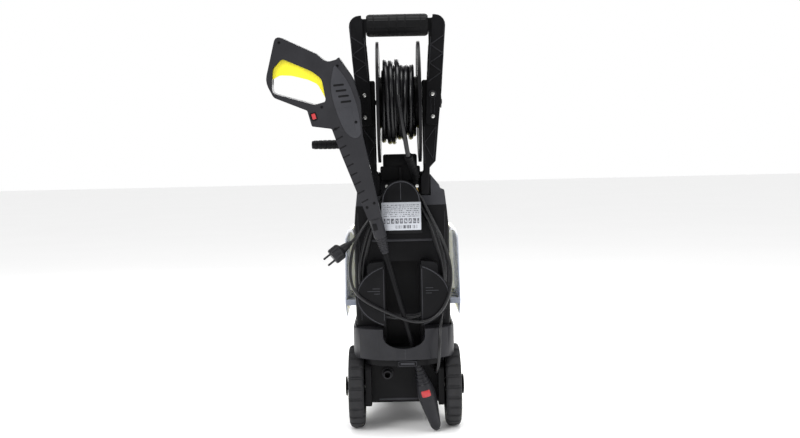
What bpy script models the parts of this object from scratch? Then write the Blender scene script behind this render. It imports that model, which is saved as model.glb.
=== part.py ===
"""Upright electric pressure washer with a hose reel between the legs of its push handle.

Metres, +Z up. The rear, with the cable hooks and the stored spray gun, faces -Y. The origin is
the middle of the front foot's underside, on the machine's plane of symmetry x = 0.
"""

import math

import bmesh
import bpy
import numpy as np
from mathutils import Matrix, Vector

GAP = 0.0003
ROUND = 32

# Housing
BODY_REAR = -0.335
SPLIT_Y = -0.175
BODY_FRONT = 0.048
BODY_BOTTOM = 0.178
COVER_TOP = 0.530
SHOULDER_TOP = 0.608
HOOD_TOP = 0.6075
WALL = 0.003
BODY_HALF = 0.111
RECESS_HALF = 0.040
RECESS_DEPTH = 0.034

# Chassis and wheels
BASE_HALF = 0.0925
BASE_BOTTOM = 0.0585
BASE_REAR = -0.303
AXLE_Y = -0.285
WHEEL_RADIUS = 0.097
WHEEL_INNER = 0.096
WHEEL_OUTER = 0.132
AXLE_RADIUS = 0.005
FOOT_HEIGHT = 0.012

# Handle and hose reel
HANDLE_REAR = -0.350
HANDLE_DEPTH = 0.034
HANDLE_TOP = 0.9715
REEL_Y = -0.318
REEL_Z = 0.7705
FLANGE_RADIUS = 0.140
FLANGE_INNER = 0.0447
FLANGE_OUTER = 0.0492
DRUM_RADIUS = 0.060
HOSE_RADIUS = 0.0055
WINDING_RADIUS = 0.100
CRANK_RADIUS = 0.095
CRANK_X = -0.125
CRANK_GRIP_LENGTH = 0.076
CRANK_GRIP_RADIUS = 0.0105

# Cable storage
HOOK_FACE = -0.385
HOOK_PLATE = 0.005
CABLE_RADIUS = 0.0035
HANK_REAR = -0.3745
HANK_FRONT = -0.3455

# Spray gun and lance, in the gun's own frame: its Z runs up the lance from the nozzle's tip
GUN_TIP = Vector((0.0725, -0.354, 0.005))
GUN_TILT = math.radians(14.6)
GUN_LEAN = math.radians(6.8)
GUN_HALF = 0.0165
POCKET_HALF = 0.0086
TRIGGER_HALF = 0.0078
TRIGGER_PIVOT = (-0.021, 0.806)
LANCE_RADIUS = 0.0055
BARREL_END = 0.522

BLACK = ("black_plastic", (0.016, 0.016, 0.018), 0.48, 0.0)
CHARCOAL = ("charcoal_plastic", (0.035, 0.035, 0.040), 0.42, 0.0)
YELLOW = ("yellow_plastic", (0.93, 0.74, 0.02), 0.30, 0.0)
SMOKE = ("smoke_plastic", (0.33, 0.36, 0.40), 0.25, 0.0)
RUBBER = ("rubber", (0.020, 0.020, 0.022), 0.75, 0.0)
SILVER = ("label_foil", (0.62, 0.63, 0.66), 0.35, 0.2)
RED = ("red_plastic", (0.75, 0.04, 0.06), 0.35, 0.0)
STEEL = ("zinc_steel", (0.62, 0.62, 0.60), 0.30, 1.0)
BRASS = ("brass", (0.78, 0.57, 0.22), 0.30, 1.0)
ALUMINIUM = ("cast_aluminium", (0.55, 0.56, 0.58), 0.45, 1.0)
LAMINATION = ("motor_steel", (0.30, 0.31, 0.33), 0.40, 0.9)


def clear_scene():
    for obj in list(bpy.data.objects):
        bpy.data.objects.remove(obj, do_unlink=True)


def new_collection(name, hidden=False):
    group = bpy.data.collections.new(name)
    bpy.context.scene.collection.children.link(group)
    group.hide_render = hidden
    return group


clear_scene()
PARTS = new_collection("pressure_washer")
CUTTERS = new_collection("cutters", hidden=True)


def finish_for(spec):
    """The Principled material of a named finish, made once."""
    name, colour, roughness, metallic = spec
    found = bpy.data.materials.get(name)
    if found:
        return found
    made = bpy.data.materials.new(name)
    made.use_nodes = True
    shader = made.node_tree.nodes["Principled BSDF"]
    shader.inputs["Base Color"].default_value = (*colour, 1.0)
    shader.inputs["Roughness"].default_value = roughness
    shader.inputs["Metallic"].default_value = metallic
    return made


def empty(name, matrix=None):
    """A joint's or assembly's frame."""
    frame = bpy.data.objects.new(name, None)
    PARTS.objects.link(frame)
    if matrix is not None:
        frame.matrix_world = matrix
    return frame


def as_object(name, mesh, spec, matrix=None, parent=None):
    """Links a mesh as a part, or as a cutter where it has no finish."""
    obj = bpy.data.objects.new(name, mesh)
    if spec is None:
        CUTTERS.objects.link(obj)
        obj.hide_render = True
        obj.display_type = "WIRE"
    else:
        PARTS.objects.link(obj)
        mesh.materials.clear()
        mesh.materials.append(finish_for(spec))
    obj.matrix_basis = matrix if matrix is not None else Matrix.Identity(4)
    obj.parent = parent
    return obj


def recentre(obj, point):
    """Moves an object's origin to a point of its parent's frame, with its shape left in place."""
    shift = Vector(point) - obj.location
    obj.data.transform(Matrix.Translation(-(obj.matrix_basis.to_3x3().inverted() @ shift)))
    obj.location = Vector(point)
    return obj


def boolean(obj, other, operation):
    """Adds a Boolean and puts its operand among the cutters."""
    step = obj.modifiers.new(operation.lower(), "BOOLEAN")
    step.operation = operation
    step.object = other
    if other.name in PARTS.objects:
        PARTS.objects.unlink(other)
        CUTTERS.objects.link(other)
    other.hide_render = True
    other.display_type = "WIRE"
    return obj


def cut(obj, *cutters):
    for cutter in cutters:
        boolean(obj, cutter, "DIFFERENCE")
    return obj


def fuse(obj, *others):
    for other in others:
        boolean(obj, other, "UNION")
    return obj


def bevel(obj, width, segments=2, angle=35):
    step = obj.modifiers.new("bevel", "BEVEL")
    step.width = width
    step.segments = segments
    step.limit_method = "ANGLE"
    step.angle_limit = math.radians(angle)
    return obj


def fillet(corners, steps=4):
    """A closed outline from corners (x, y, radius), with each rounded corner as an arc."""
    points = []
    count = len(corners)
    for index, (x, y, radius) in enumerate(corners):
        here = Vector((x, y))
        if radius <= 0:
            points.append(tuple(here))
            continue
        before = (Vector(corners[index - 1][:2]) - here).normalized()
        after = (Vector(corners[(index + 1) % count][:2]) - here).normalized()
        half = before.angle(after) / 2
        reach = radius / math.tan(half)
        centre = here + (before + after).normalized() * radius / math.sin(half)
        start, end = here + before * reach - centre, here + after * reach - centre
        turn = start.angle_signed(end)
        for step in range(steps + 1):
            arm = start.copy()
            arm.rotate(Matrix.Rotation(-turn * step / steps, 2))
            points.append(tuple(centre + arm))
    return points


def arc_points(centre, radii, start, end, count):
    """Points at equal angles along part of an ellipse."""
    return [
        (centre[0] + radii[0] * math.cos(angle), centre[1] + radii[1] * math.sin(angle))
        for angle in np.linspace(start, end, count)
    ]


def both_sides(half, steps=4):
    """A symmetric outline from the corners of its right side, listed from the top down."""
    left = [(-x, z, radius) for x, z, radius in reversed(half)]
    return fillet(half + left, steps)


PLANES = {
    "XZ": Matrix(((1, 0, 0, 0), (0, 0, 1, 0), (0, 1, 0, 0), (0, 0, 0, 1))),
    "XY": Matrix.Identity(4),
    "YZ": Matrix(((0, 0, 1, 0), (1, 0, 0, 0), (0, 1, 0, 0), (0, 0, 0, 1))),
}


def slab(name, outline, low, high, spec, plane="XZ", holes=(), parent=None):
    """A flat outline carried from low to high along the axis normal to its plane."""
    flat = bpy.data.curves.new(name, "CURVE")
    flat.dimensions = "2D"
    flat.fill_mode = "BOTH"
    flat.extrude = (high - low) / 2
    for loop in (outline, *holes):
        spline = flat.splines.new("POLY")
        spline.points.add(len(loop) - 1)
        spline.use_cyclic_u = True
        for point, (x, y) in zip(spline.points, loop):
            point.co = (x, y, 0, 1)
    guide = bpy.data.objects.new(name + "_guide", flat)
    bpy.context.scene.collection.objects.link(guide)
    graph = bpy.context.evaluated_depsgraph_get()
    mesh = bpy.data.meshes.new_from_object(guide.evaluated_get(graph))
    bpy.data.objects.remove(guide)
    mesh.transform(Matrix.Translation((0, 0, (low + high) / 2)))
    mesh.transform(PLANES[plane])
    weld(mesh)
    mesh.name = name
    return as_object(name, mesh, spec, parent=parent)


def weld(mesh):
    """Joins loose caps and turns every face outwards."""
    work = bmesh.new()
    work.from_mesh(mesh)
    bmesh.ops.remove_doubles(work, verts=work.verts, dist=0.00001)
    bmesh.ops.recalc_face_normals(work, faces=work.faces)
    work.to_mesh(mesh)
    work.free()


def block(name, low, high, spec, parent=None):
    """A box between two corners."""
    low, high = Vector(low), Vector(high)
    work = bmesh.new()
    bmesh.ops.create_cube(work, size=1.0)
    bmesh.ops.scale(work, vec=high - low, verts=work.verts)
    bmesh.ops.translate(work, vec=(low + high) / 2, verts=work.verts)
    mesh = bpy.data.meshes.new(name)
    work.to_mesh(mesh)
    work.free()
    return as_object(name, mesh, spec, parent=parent)


def towards(direction):
    """The rotation that turns +Z to a direction."""
    return Vector((0, 0, 1)).rotation_difference(Vector(direction)).to_matrix().to_4x4()


def turned(name, profile, spec, at=(0, 0, 0), axis=(0, 0, 1), steps=ROUND, ring=False, parent=None):
    """A turned solid. The profile (radius, height) runs down the outside; a ring's closes on itself."""
    mesh = bpy.data.meshes.new(name)
    count = len(profile)
    edges = [(i, i + 1) for i in range(count - 1)]
    if ring:
        edges.append((count - 1, 0))
    mesh.from_pydata([(radius, 0, height) for radius, height in profile], edges, [])
    obj = as_object(name, mesh, spec, Matrix.Translation(at) @ towards(axis), parent)
    screw = obj.modifiers.new("turn", "SCREW")
    screw.axis = "Z"
    screw.angle = math.tau
    screw.steps = steps
    screw.render_steps = steps
    screw.use_merge_vertices = True
    screw.merge_threshold = 0.00005
    screw.use_smooth_shade = True
    return obj


def rod(name, radius, start, end, spec, steps=ROUND, parent=None):
    """A plain cylinder between two points."""
    start, end = Vector(start), Vector(end)
    span = (end - start).length
    profile = [(0, span), (radius, span), (radius, 0), (0, 0)]
    return turned(name, profile, spec, start, end - start, steps, parent=parent)


def through(points, spacing):
    """Points at a spacing along a smooth Catmull-Rom curve through the route's own points."""
    route = [Vector(point) for point in points]
    route = [2 * route[0] - route[1], *route, 2 * route[-1] - route[-2]]
    fine = []
    for a, b, c, d in zip(route, route[1:], route[2:], route[3:]):
        for step in range(24):
            t = step / 24
            bend = (2 * a - 5 * b + 4 * c - d) * t**2
            twist = (3 * b - a - 3 * c + d) * t**3
            fine.append(0.5 * (2 * b + (c - a) * t + bend + twist))
    fine.append(route[-2])
    steps = np.array([(q - p).length for p, q in zip(fine, fine[1:])])
    along = np.concatenate([[0.0], np.cumsum(steps)])
    count = max(3, round(along[-1] / spacing) + 1)
    wanted = np.linspace(0, along[-1], count)
    table = np.array(fine)
    return np.stack([np.interp(wanted, along, table[:, axis]) for axis in range(3)], axis=1)


def tube(name, points, radius, spec, spacing, resolution=2):
    """A round cord along a smooth route, with closed ends."""
    route = through(points, spacing)
    line = bpy.data.curves.new(name, "CURVE")
    line.dimensions = "3D"
    line.bevel_depth = radius
    line.bevel_resolution = resolution
    line.use_fill_caps = True
    spline = line.splines.new("POLY")
    spline.points.add(len(route) - 1)
    for point, place in zip(spline.points, route):
        point.co = (*place, 1)
    obj = bpy.data.objects.new(name, line)
    PARTS.objects.link(obj)
    line.materials.append(finish_for(spec))
    return obj


# Housing


def housing_half(inset=0.0):
    """Right side of the housing's outline from behind, below the shoulders."""
    return [
        (0.106 - inset, COVER_TOP, 0),
        (0.1115 - inset, 0.470, 0),
        (0.1115 - inset, 0.330, 0),
        (0.1090 - inset, BODY_BOTTOM, 0),
    ]


def split_trim(name, side):
    """Everything ahead of the split plane between the two covers, or behind it."""
    low, high = sorted((SPLIT_Y + GAP / 2 - side * GAP / 2, SPLIT_Y + side * 0.12))
    return block(f"{name}_split_trim", (-0.2, low, 0.1), (0.2, high, 0.7), None)


def wheel_arches(name):
    """Clearance round both wheels."""
    return [
        rod(
            f"{name}_arch_{side}",
            WHEEL_RADIUS + 0.006,
            (side * 0.0945, AXLE_Y, WHEEL_RADIUS),
            (side * 0.150, AXLE_Y, WHEEL_RADIUS),
            None,
        )
        for side in (1, -1)
    ]


def make_rear_cover():
    """A tub open to the front, with a sunk channel for the lance and a raised pad for the cable."""
    outer = slab("rear_cover", both_sides(housing_half()), BODY_REAR, SPLIT_Y, BLACK)
    plan = fillet(
        [
            (0.1115, SPLIT_Y + 0.01, 0),
            (0.1115, BODY_REAR, 0.014),
            (-0.1115, BODY_REAR, 0.014),
            (-0.1115, SPLIT_Y + 0.01, 0),
        ]
    )
    boolean(outer, slab("rear_cover_plan", plan, 0.1, 0.6, None, "XY"), "INTERSECT")
    hollow = both_sides([(x - WALL, z, r) for x, z, r in housing_half()])
    hollow = [(x, min(max(z, BODY_BOTTOM + WALL), COVER_TOP - WALL)) for x, z in hollow]
    cut(outer, slab("rear_cover_hollow", hollow, BODY_REAR + 0.006, SPLIT_Y + 0.02, None))
    recess_top = 0.400
    recess_low = 0.198
    shell = block(
        "rear_cover_recess_shell",
        (-RECESS_HALF - WALL, BODY_REAR + 0.0015, recess_low - WALL),
        (RECESS_HALF + WALL, BODY_REAR + RECESS_DEPTH + WALL, recess_top + WALL),
        None,
    )
    pad = slab(
        "rear_cover_pad",
        both_sides([(0.040, 0.526, 0.006), (0.073, 0.462, 0.008), (0.071, 0.448, 0.004)]),
        BODY_REAR - 0.0092,
        BODY_REAR + 0.002,
        None,
    )
    fuse(outer, shell, pad)
    channel = slab(
        "rear_cover_recess",
        both_sides([(RECESS_HALF, recess_top, 0.006), (RECESS_HALF, recess_low, 0.006)]),
        BODY_REAR - 0.02,
        BODY_REAR + RECESS_DEPTH,
        None,
    )
    return cut(outer, channel, *wheel_arches("rear_cover"))


def make_front_cover():
    """The bright hood: the housing's outline met with a raked side profile, hollow behind."""
    back = SPLIT_Y - 0.03
    front = fillet(
        [
            (back, BODY_BOTTOM, 0),
            (BODY_FRONT, BODY_BOTTOM, 0.018),
            (BODY_FRONT - 0.008, 0.400, 0.200),
            (-0.050, HOOD_TOP - 0.010, 0.050),
            (back, HOOD_TOP + 0.001, 0),
        ],
        5,
    )
    half = [
        (0.0670, HOOD_TOP, 0.006),
        (0.0965, 0.5730, 0.012),
        (0.1090, COVER_TOP, 0.020),
        (0.1112, 0.470, 0),
        (0.1112, 0.330, 0),
        (0.1088, BODY_BOTTOM, 0),
    ]
    hood = slab("front_cover", both_sides(half, 4), back, BODY_FRONT + 0.01, YELLOW)
    side = slab("front_cover_side", front, -0.2, 0.2, None, "YZ")
    boolean(hood, side, "INTERSECT")
    inner_half = [
        (0.0640, HOOD_TOP - 0.0045, 0.004),
        (0.0915, 0.5710, 0.010),
        (0.1045, COVER_TOP, 0),
        (0.1072, 0.470, 0),
        (0.1072, 0.330, 0),
        (0.1050, BODY_BOTTOM + WALL, 0),
    ]
    inner = slab(
        "front_cover_hollow", both_sides(inner_half, 3), back - 0.02, BODY_FRONT - 0.012, None
    )
    inner_side = slab(
        "front_cover_hollow_side",
        fillet(
            [
                (back - 0.03, BODY_BOTTOM + WALL, 0),
                (BODY_FRONT - 0.012, BODY_BOTTOM + WALL, 0.01),
                (BODY_FRONT - 0.022, 0.390, 0.18),
                (-0.062, HOOD_TOP - 0.014, 0.040),
                (back - 0.03, HOOD_TOP - 0.0035, 0),
            ],
            4,
        ),
        -0.2,
        0.2,
        None,
        "YZ",
    )
    boolean(inner, inner_side, "INTERSECT")
    return cut(hood, inner, split_trim("front_cover", -1))


def make_top_cover():
    """Shoulder block over the rear cover, with a well for the handle's legs."""
    half = [
        (0.0645, SHOULDER_TOP, 0.004),
        (0.0895, 0.577, 0.004),
        (0.0925, 0.568, 0.003),
        (0.1015, 0.566, 0.006),
        (0.1055, COVER_TOP + GAP, 0),
    ]
    shoulder = slab("top_cover", both_sides(half, 3), BODY_REAR, SPLIT_Y, BLACK)
    bevel(shoulder, 0.004, 1, 60)
    well = block("top_cover_well", (-0.0700, BODY_REAR - 0.02, 0.5525), (0.0700, -0.292, 0.63), None)
    hollow = block(
        "top_cover_hollow", (-0.098, -0.285, COVER_TOP - 0.01), (0.098, SPLIT_Y - 0.003, 0.558), None
    )
    return cut(shoulder, well, hollow)


def make_rear_band():
    """Bumper belt round the rear, bulging outwards, with a notch and channel for the lance."""
    arc = arc_points((0, -0.325), (0.118, -0.080), 0, math.pi, 19)
    plan = [(0.118, -0.105), *arc, (-0.118, -0.105)]
    inner = [
        (-0.1124, -0.105),
        (-0.1124, BODY_REAR - GAP),
        (0.1124, BODY_REAR - GAP),
        (0.1124, -0.105),
    ]
    band = slab("rear_band", plan + inner, 0.1785, 0.249, BLACK, "XY")
    bevel(band, 0.0025, 1, 70)
    reach = math.acos(0.043 / 0.113)
    bay = arc_points((0, -0.325), (0.113, -0.075), reach, math.pi - reach, 9)
    channel = slab("band_channel", [(0.043, -0.33), *bay, (-0.043, -0.33)], 0.17, 0.26, None, "XY")
    notch_arc = arc_points((0, 0.232), (0.048, -0.027), 0, math.pi, 13)
    notch = slab("band_notch", [(0.048, 0.27), *notch_arc, (-0.048, 0.27)], -0.42, -0.372, None)
    relief = slab("band_relief", [(0.048, 0.27), *notch_arc, (-0.048, 0.27)], -0.38, -0.33, None)
    cut(band, channel, notch, relief)
    for side in (1, -1):
        low, high = sorted((side * 0.049, side * 0.098))
        cut(band, block(f"band_pocket_{side}", (low, -0.361, 0.17), (high, -0.3405, 0.243), None))
    return cut(band, *wheel_arches("rear_band"))


def make_lance_rest():
    """Lower lip below the belt, with a slotted keeper in front of the lance."""
    outer = arc_points((0, -0.328), (0.093, -0.068), 0.11, math.pi - 0.11, 17)
    inner = arc_points((0, -0.328), (0.089, -0.064), math.pi - 0.13, 0.13, 17)
    lip = slab("lance_rest", outer + inner, 0.1635, 0.1782, BLACK, "XY")
    keeper = block("lance_rest_keeper", (-0.016, -0.4005, 0.1625), (0.030, -0.3935, 0.1765), None)
    fuse(lip, keeper)
    slot = block("lance_rest_slot", (-0.012, -0.405, 0.1675), (0.026, -0.3985, 0.1725), None)
    return cut(lip, slot)


def make_base_frame():
    """Chassis tray with two cheeks behind and a stand under the front."""
    frame = block(
        "base_frame",
        (-BASE_HALF, BASE_REAR, BASE_BOTTOM),
        (BASE_HALF, BODY_FRONT - 0.002, 0.1777),
        BLACK,
    )
    bevel(frame, 0.004, 1)
    cut(
        frame,
        block(
            "base_hollow",
            (-BASE_HALF + 0.004, BASE_REAR + 0.004, BASE_BOTTOM + 0.004),
            (BASE_HALF - 0.004, BODY_FRONT - 0.006, 0.20),
            None,
        ),
    )
    for side in (1, -1):
        low, high = sorted((side * 0.0785, side * BASE_HALF))
        cheek = slab(
            f"base_cheek_{side}",
            fillet(
                [
                    (BASE_REAR + 0.002, BASE_BOTTOM, 0),
                    (BASE_REAR + 0.002, 0.1632, 0),
                    (-0.336, 0.1632, 0.004),
                    (-0.348, 0.150, 0.012),
                    (-0.345, BASE_BOTTOM, 0.010),
                ]
            ),
            low,
            high,
            None,
            "YZ",
        )
        fuse(frame, cheek)
        low, high = sorted((side * 0.094, side * (BASE_HALF - 0.008)))
        start, end = (low, AXLE_Y, WHEEL_RADIUS), (high, AXLE_Y, WHEEL_RADIUS)
        fuse(frame, rod(f"base_boss_{side}", 0.013, start, end, None, 20))
    stand = slab(
        "base_stand",
        fillet(
            [
                (-0.040, 0.062, 0),
                (-0.030, FOOT_HEIGHT, 0.006),
                (0.030, FOOT_HEIGHT, 0.006),
                (0.040, 0.062, 0),
            ]
        ),
        -0.074,
        0.074,
        None,
        "YZ",
    )
    fuse(frame, stand)
    start, end = (-0.15, AXLE_Y, WHEEL_RADIUS), (0.15, AXLE_Y, WHEEL_RADIUS)
    return cut(frame, rod("base_bore", AXLE_RADIUS + GAP, start, end, None, 16))


def make_front_foot():
    """Rubber pad under the stand. The origin lies in the middle of its underside."""
    pad = block("front_foot", (-0.076, -0.031, 0), (0.076, 0.031, FOOT_HEIGHT - GAP), RUBBER)
    return bevel(pad, 0.003, 2)


# Wheels


def make_wheel(side):
    """Tread ring, spoked rim and the frame that they spin on."""
    name = "right" if side > 0 else "left"
    hub = empty(f"wheel_{name}_axis", Matrix.Translation((0, AXLE_Y, WHEEL_RADIUS)))
    low, high = sorted((side * WHEEL_INNER, side * WHEEL_OUTER))
    rim_radius = 0.074
    tread = [
        (WHEEL_RADIUS - 0.006, high),
        (WHEEL_RADIUS, high - 0.006),
        (WHEEL_RADIUS, low + 0.006),
        (WHEEL_RADIUS - 0.006, low),
        (rim_radius, low),
        (rim_radius, high),
    ]
    turned(f"wheel_tyre_{name}", tread, RUBBER, axis=(1, 0, 0), steps=40, ring=True, parent=hub)
    web = (low + high) / 2
    turned(
        f"wheel_rim_{name}",
        [
            (rim_radius - GAP, high - 0.001),
            (rim_radius - GAP, low + 0.001),
            (rim_radius - 0.006, low + 0.001),
            (rim_radius - 0.006, web - 0.003),
            (0.015, web - 0.003),
            (0.015, low),
            (AXLE_RADIUS + GAP, low),
            (AXLE_RADIUS + GAP, high),
            (0.015, high),
            (0.015, web + 0.003),
            (rim_radius - 0.006, web + 0.003),
            (rim_radius - 0.006, high - 0.001),
        ],
        BLACK,
        axis=(1, 0, 0),
        steps=24,
        ring=True,
        parent=hub,
    )


def make_axle():
    """Steel axle with a pressed cap outside each wheel."""
    start, end = (-0.137, AXLE_Y, WHEEL_RADIUS), (0.137, AXLE_Y, WHEEL_RADIUS)
    rod("wheel_axle", AXLE_RADIUS, start, end, STEEL, 16)
    bore = AXLE_RADIUS + GAP
    profile = [
        (0, 0.0095),
        (0.019, 0.0095),
        (0.0235, 0.0075),
        (0.0235, 0.0055),
        (0.0095, 0.0050),
        (0.0095, 0.0006),
        (bore, 0.0006),
        (bore, 0.0062),
        (0, 0.0062),
    ]
    for side, name in ((1, "right"), (-1, "left")):
        at = (side * WHEEL_OUTER, AXLE_Y, WHEEL_RADIUS)
        turned(f"hub_cap_{name}", profile, BLACK, at, (side, 0, 0), 16)


# Handle and reel


def make_handle():
    """Loop handle with a soft sleeve, lapped on the two reel carriers and screwed to them."""
    half = [
        (0.1125, 0.968, 0.024),
        (0.0990, 0.792, 0),
        (0.0905, 0.716, 0.003),
        (0.0620, 0.716, 0.003),
        (0.0660, 0.822, 0),
        (0.0725, 0.924, 0.006),
    ]
    front = HANDLE_REAR + HANDLE_DEPTH
    loop = slab("handle_loop", both_sides(half, 5), HANDLE_REAR, front, BLACK)
    lap = block("handle_lap", (-0.12, HANDLE_REAR + 0.012, 0.70), (0.12, front + 0.01, 0.8205), None)
    bevel(loop, 0.003, 1, 60)
    behind, ahead = HANDLE_REAR - 0.01, front + 0.01
    cut(
        loop,
        lap,
        block("handle_neck", (-0.0820, behind, 0.961), (0.0820, ahead, 1.0), None),
        block("handle_neck_low", (-0.0720, behind, 0.90), (0.0720, ahead, 0.932), None),
        block("handle_neck_rear", (-0.0795, behind, 0.90), (0.0795, HANDLE_REAR + 0.006, 1.0), None),
        block("handle_neck_front", (-0.0795, front - 0.006, 0.90), (0.0795, ahead, 1.0), None),
    )
    turned(
        "handle_grip",
        [
            (0.0235, 0.071),
            (0.0250, 0.068),
            (0.0255, 0),
            (0.0250, -0.068),
            (0.0235, -0.071),
            (0.0212, -0.071),
            (0.0212, 0.071),
        ],
        RUBBER,
        (0, HANDLE_REAR + HANDLE_DEPTH / 2, 0.9465),
        (1, 0, 0),
        20,
        ring=True,
    )


def make_carriers():
    """Upright reel carriers that end in legs seated in the housing's well, and their brace."""
    half = [
        (0.0985, 0.8200, 0),
        (0.0955, 0.760, 0),
        (0.0830, 0.632, 0.003),
        (0.0690, 0.617, 0.003),
        (0.0670, 0.5531, 0),
        (0.0470, 0.5531, 0),
        (0.0470, 0.600, 0),
        (0.0545, 0.612, 0),
        (0.0545, 0.8200, 0),
    ]
    rear = HANDLE_REAR + 0.012 + GAP
    for side, name in ((1, "right"), (-1, "left")):
        outline = fillet([(side * x, z, r) for x, z, r in half])
        carrier = slab(f"reel_carrier_{name}", outline, rear, -0.296, BLACK)
        bevel(carrier, 0.0025, 1, 60)
        start, end = (side * 0.04, REEL_Y, REEL_Z), (side * 0.12, REEL_Y, REEL_Z)
        cut(carrier, rod(f"carrier_bore_{name}", 0.011, start, end, None, 20))
    brace = slab(
        "cross_brace",
        both_sides([(0.0467, 0.622, 0.004), (0.0467, 0.588, 0.004)]),
        -0.312,
        -0.297,
        BLACK,
    )
    rib = block("cross_brace_rib", (-0.0025, -0.328, 0.556), (0.0025, -0.310, 0.620), None)
    fuse(brace, rib)
    inner, outer = 0.0062, 0.0107
    profile = [
        (0.015, 0.0028),
        (0.015, 0.0003),
        (outer, 0.0003),
        (outer, -0.040),
        (inner, -0.040),
        (inner, 0.0028),
    ]
    for side, name in ((1, "right"), (-1, "left")):
        at = (side * 0.0965, REEL_Y, REEL_Z)
        turned(f"reel_bush_{name}", profile, CHARCOAL, at, (side, 0, 0), 20, True)


def make_reel():
    """Drum, flanges, wound hose and crank, all turning on one axle."""
    spin = empty("reel_axis", Matrix.Translation((0, REEL_Y, REEL_Z)))
    inner = FLANGE_INNER
    turned(
        "reel_drum",
        [(0, 0.1010), (0.0058, 0.1010), (0.0058, inner - 0.002), (DRUM_RADIUS, inner - GAP)]
        + [(DRUM_RADIUS, -inner + GAP), (0.0058, -inner + 0.002), (0.0058, -0.118), (0, -0.118)],
        BLACK,
        axis=(1, 0, 0),
        steps=24,
        parent=spin,
    )
    for side, name in ((1, "right"), (-1, "left")):
        low, high = sorted((side * FLANGE_INNER, side * FLANGE_OUTER))
        rim_low, rim_high = sorted((side * (FLANGE_INNER - 0.0012), side * (FLANGE_OUTER + 0.0012)))
        profile = [
            (FLANGE_RADIUS, rim_high),
            (FLANGE_RADIUS, rim_low),
            (FLANGE_RADIUS - 0.006, rim_low),
            (FLANGE_RADIUS - 0.008, low),
            (0.0062, low),
            (0.0062, high),
            (FLANGE_RADIUS - 0.008, high),
            (FLANGE_RADIUS - 0.006, rim_high),
        ]
        turned(f"reel_flange_{name}", profile, BLACK, axis=(1, 0, 0), steps=36, ring=True, parent=spin)
    turned(
        "hose_winding",
        [
            (WINDING_RADIUS - 0.004, 0.0432),
            (WINDING_RADIUS, 0.036),
            (WINDING_RADIUS, -0.036),
            (WINDING_RADIUS - 0.004, -0.0432),
            (DRUM_RADIUS + 0.0005, -0.0432),
            (DRUM_RADIUS + 0.0005, 0.0432),
        ],
        RUBBER,
        axis=(1, 0, 0),
        steps=40,
        ring=True,
        parent=spin,
    )
    arm = slab(
        "crank_arm",
        fillet(
            [
                (0.0150, 0.014, 0.013),
                (0.0110, -CRANK_RADIUS - 0.011, 0.0105),
                (-0.0110, -CRANK_RADIUS - 0.011, 0.0105),
                (-0.0150, 0.014, 0.013),
            ]
        ),
        CRANK_X,
        CRANK_X + 0.009,
        BLACK,
        "YZ",
        parent=spin,
    )
    start, end = (CRANK_X - 0.02, 0, 0), (CRANK_X + 0.03, 0, 0)
    cut(arm, rod("crank_bore", 0.0061, start, end, None, 16, parent=spin))
    tail = CRANK_X - CRANK_GRIP_LENGTH - 0.0045
    start, end = (CRANK_X + 0.002, 0, -CRANK_RADIUS), (tail, 0, -CRANK_RADIUS)
    fuse(arm, rod("crank_pin", 0.0040, start, end, None, 16, parent=spin))
    knob = empty("crank_grip_axis", Matrix.Translation((0, REEL_Y, REEL_Z - CRANK_RADIUS)))
    radius = CRANK_GRIP_RADIUS
    turned(
        "crank_grip",
        [
            (radius - 0.001, CRANK_X - 0.0008),
            (radius, CRANK_X - 0.004),
            (radius + 0.0004, CRANK_X - CRANK_GRIP_LENGTH / 2),
            (radius, CRANK_X - CRANK_GRIP_LENGTH),
            (radius - 0.002, CRANK_X - CRANK_GRIP_LENGTH - 0.004),
            (0.0044, CRANK_X - CRANK_GRIP_LENGTH - 0.004),
            (0.0044, CRANK_X - 0.0008),
        ],
        RUBBER,
        axis=(1, 0, 0),
        steps=24,
        ring=True,
        parent=knob,
    )


# Cable storage, label and holders


def make_upper_hook():
    """Domed face on a stem: the upper end of the cable's winding, which carries the label."""
    arch = [
        (0.0455 * math.cos(angle), 0.530 + 0.060 * math.sin(angle) ** 0.8)
        for angle in np.linspace(0.08, math.pi - 0.08, 15)
    ]
    outline = [(0.047, 0.468), *arch, (-0.047, 0.468)]
    face = slab("upper_cable_hook", outline, HOOK_FACE, HOOK_FACE + HOOK_PLATE, BLACK)
    bevel(face, 0.0015, 2, 60)
    stem = slab(
        "upper_hook_stem",
        both_sides([(0.022, 0.5640, 0.016), (0.030, 0.5200, 0.008), (0.032, 0.472, 0.004)]),
        HOOK_FACE + 0.002,
        BODY_REAR - 0.0095,
        None,
    )
    return fuse(face, stem)


def make_lower_hook(side, name):
    """Half of the lower hook: a quarter-round face plate on a stem beside the lance channel."""
    inner = 0.0405
    low = math.acos(inner / 0.108)
    rim = arc_points((0, 0.3245), (side * 0.108, 0.0765), low, -low, 17)
    face = slab(f"lower_cable_hook_{name}", rim, HOOK_FACE, HOOK_FACE + HOOK_PLATE, BLACK)
    stem = slab(
        f"lower_hook_stem_{name}",
        fillet(
            [
                (side * 0.0425, 0.404, 0.003),
                (side * 0.0810, 0.400, 0.010),
                (side * 0.0810, 0.312, 0.024),
                (side * 0.0425, 0.291, 0.004),
            ]
        ),
        HOOK_FACE + 0.002,
        BODY_REAR - GAP,
        None,
    )
    return fuse(face, stem)


def make_label():
    """Rating plate on the dome's face, left blank of any lettering."""
    outline = both_sides([(0.0450, 0.5395, 0.002), (0.0450, 0.4755, 0.002)], 2)
    slab("rating_label", outline, HOOK_FACE - 0.0011, HOOK_FACE - GAP, SILVER)


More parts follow.
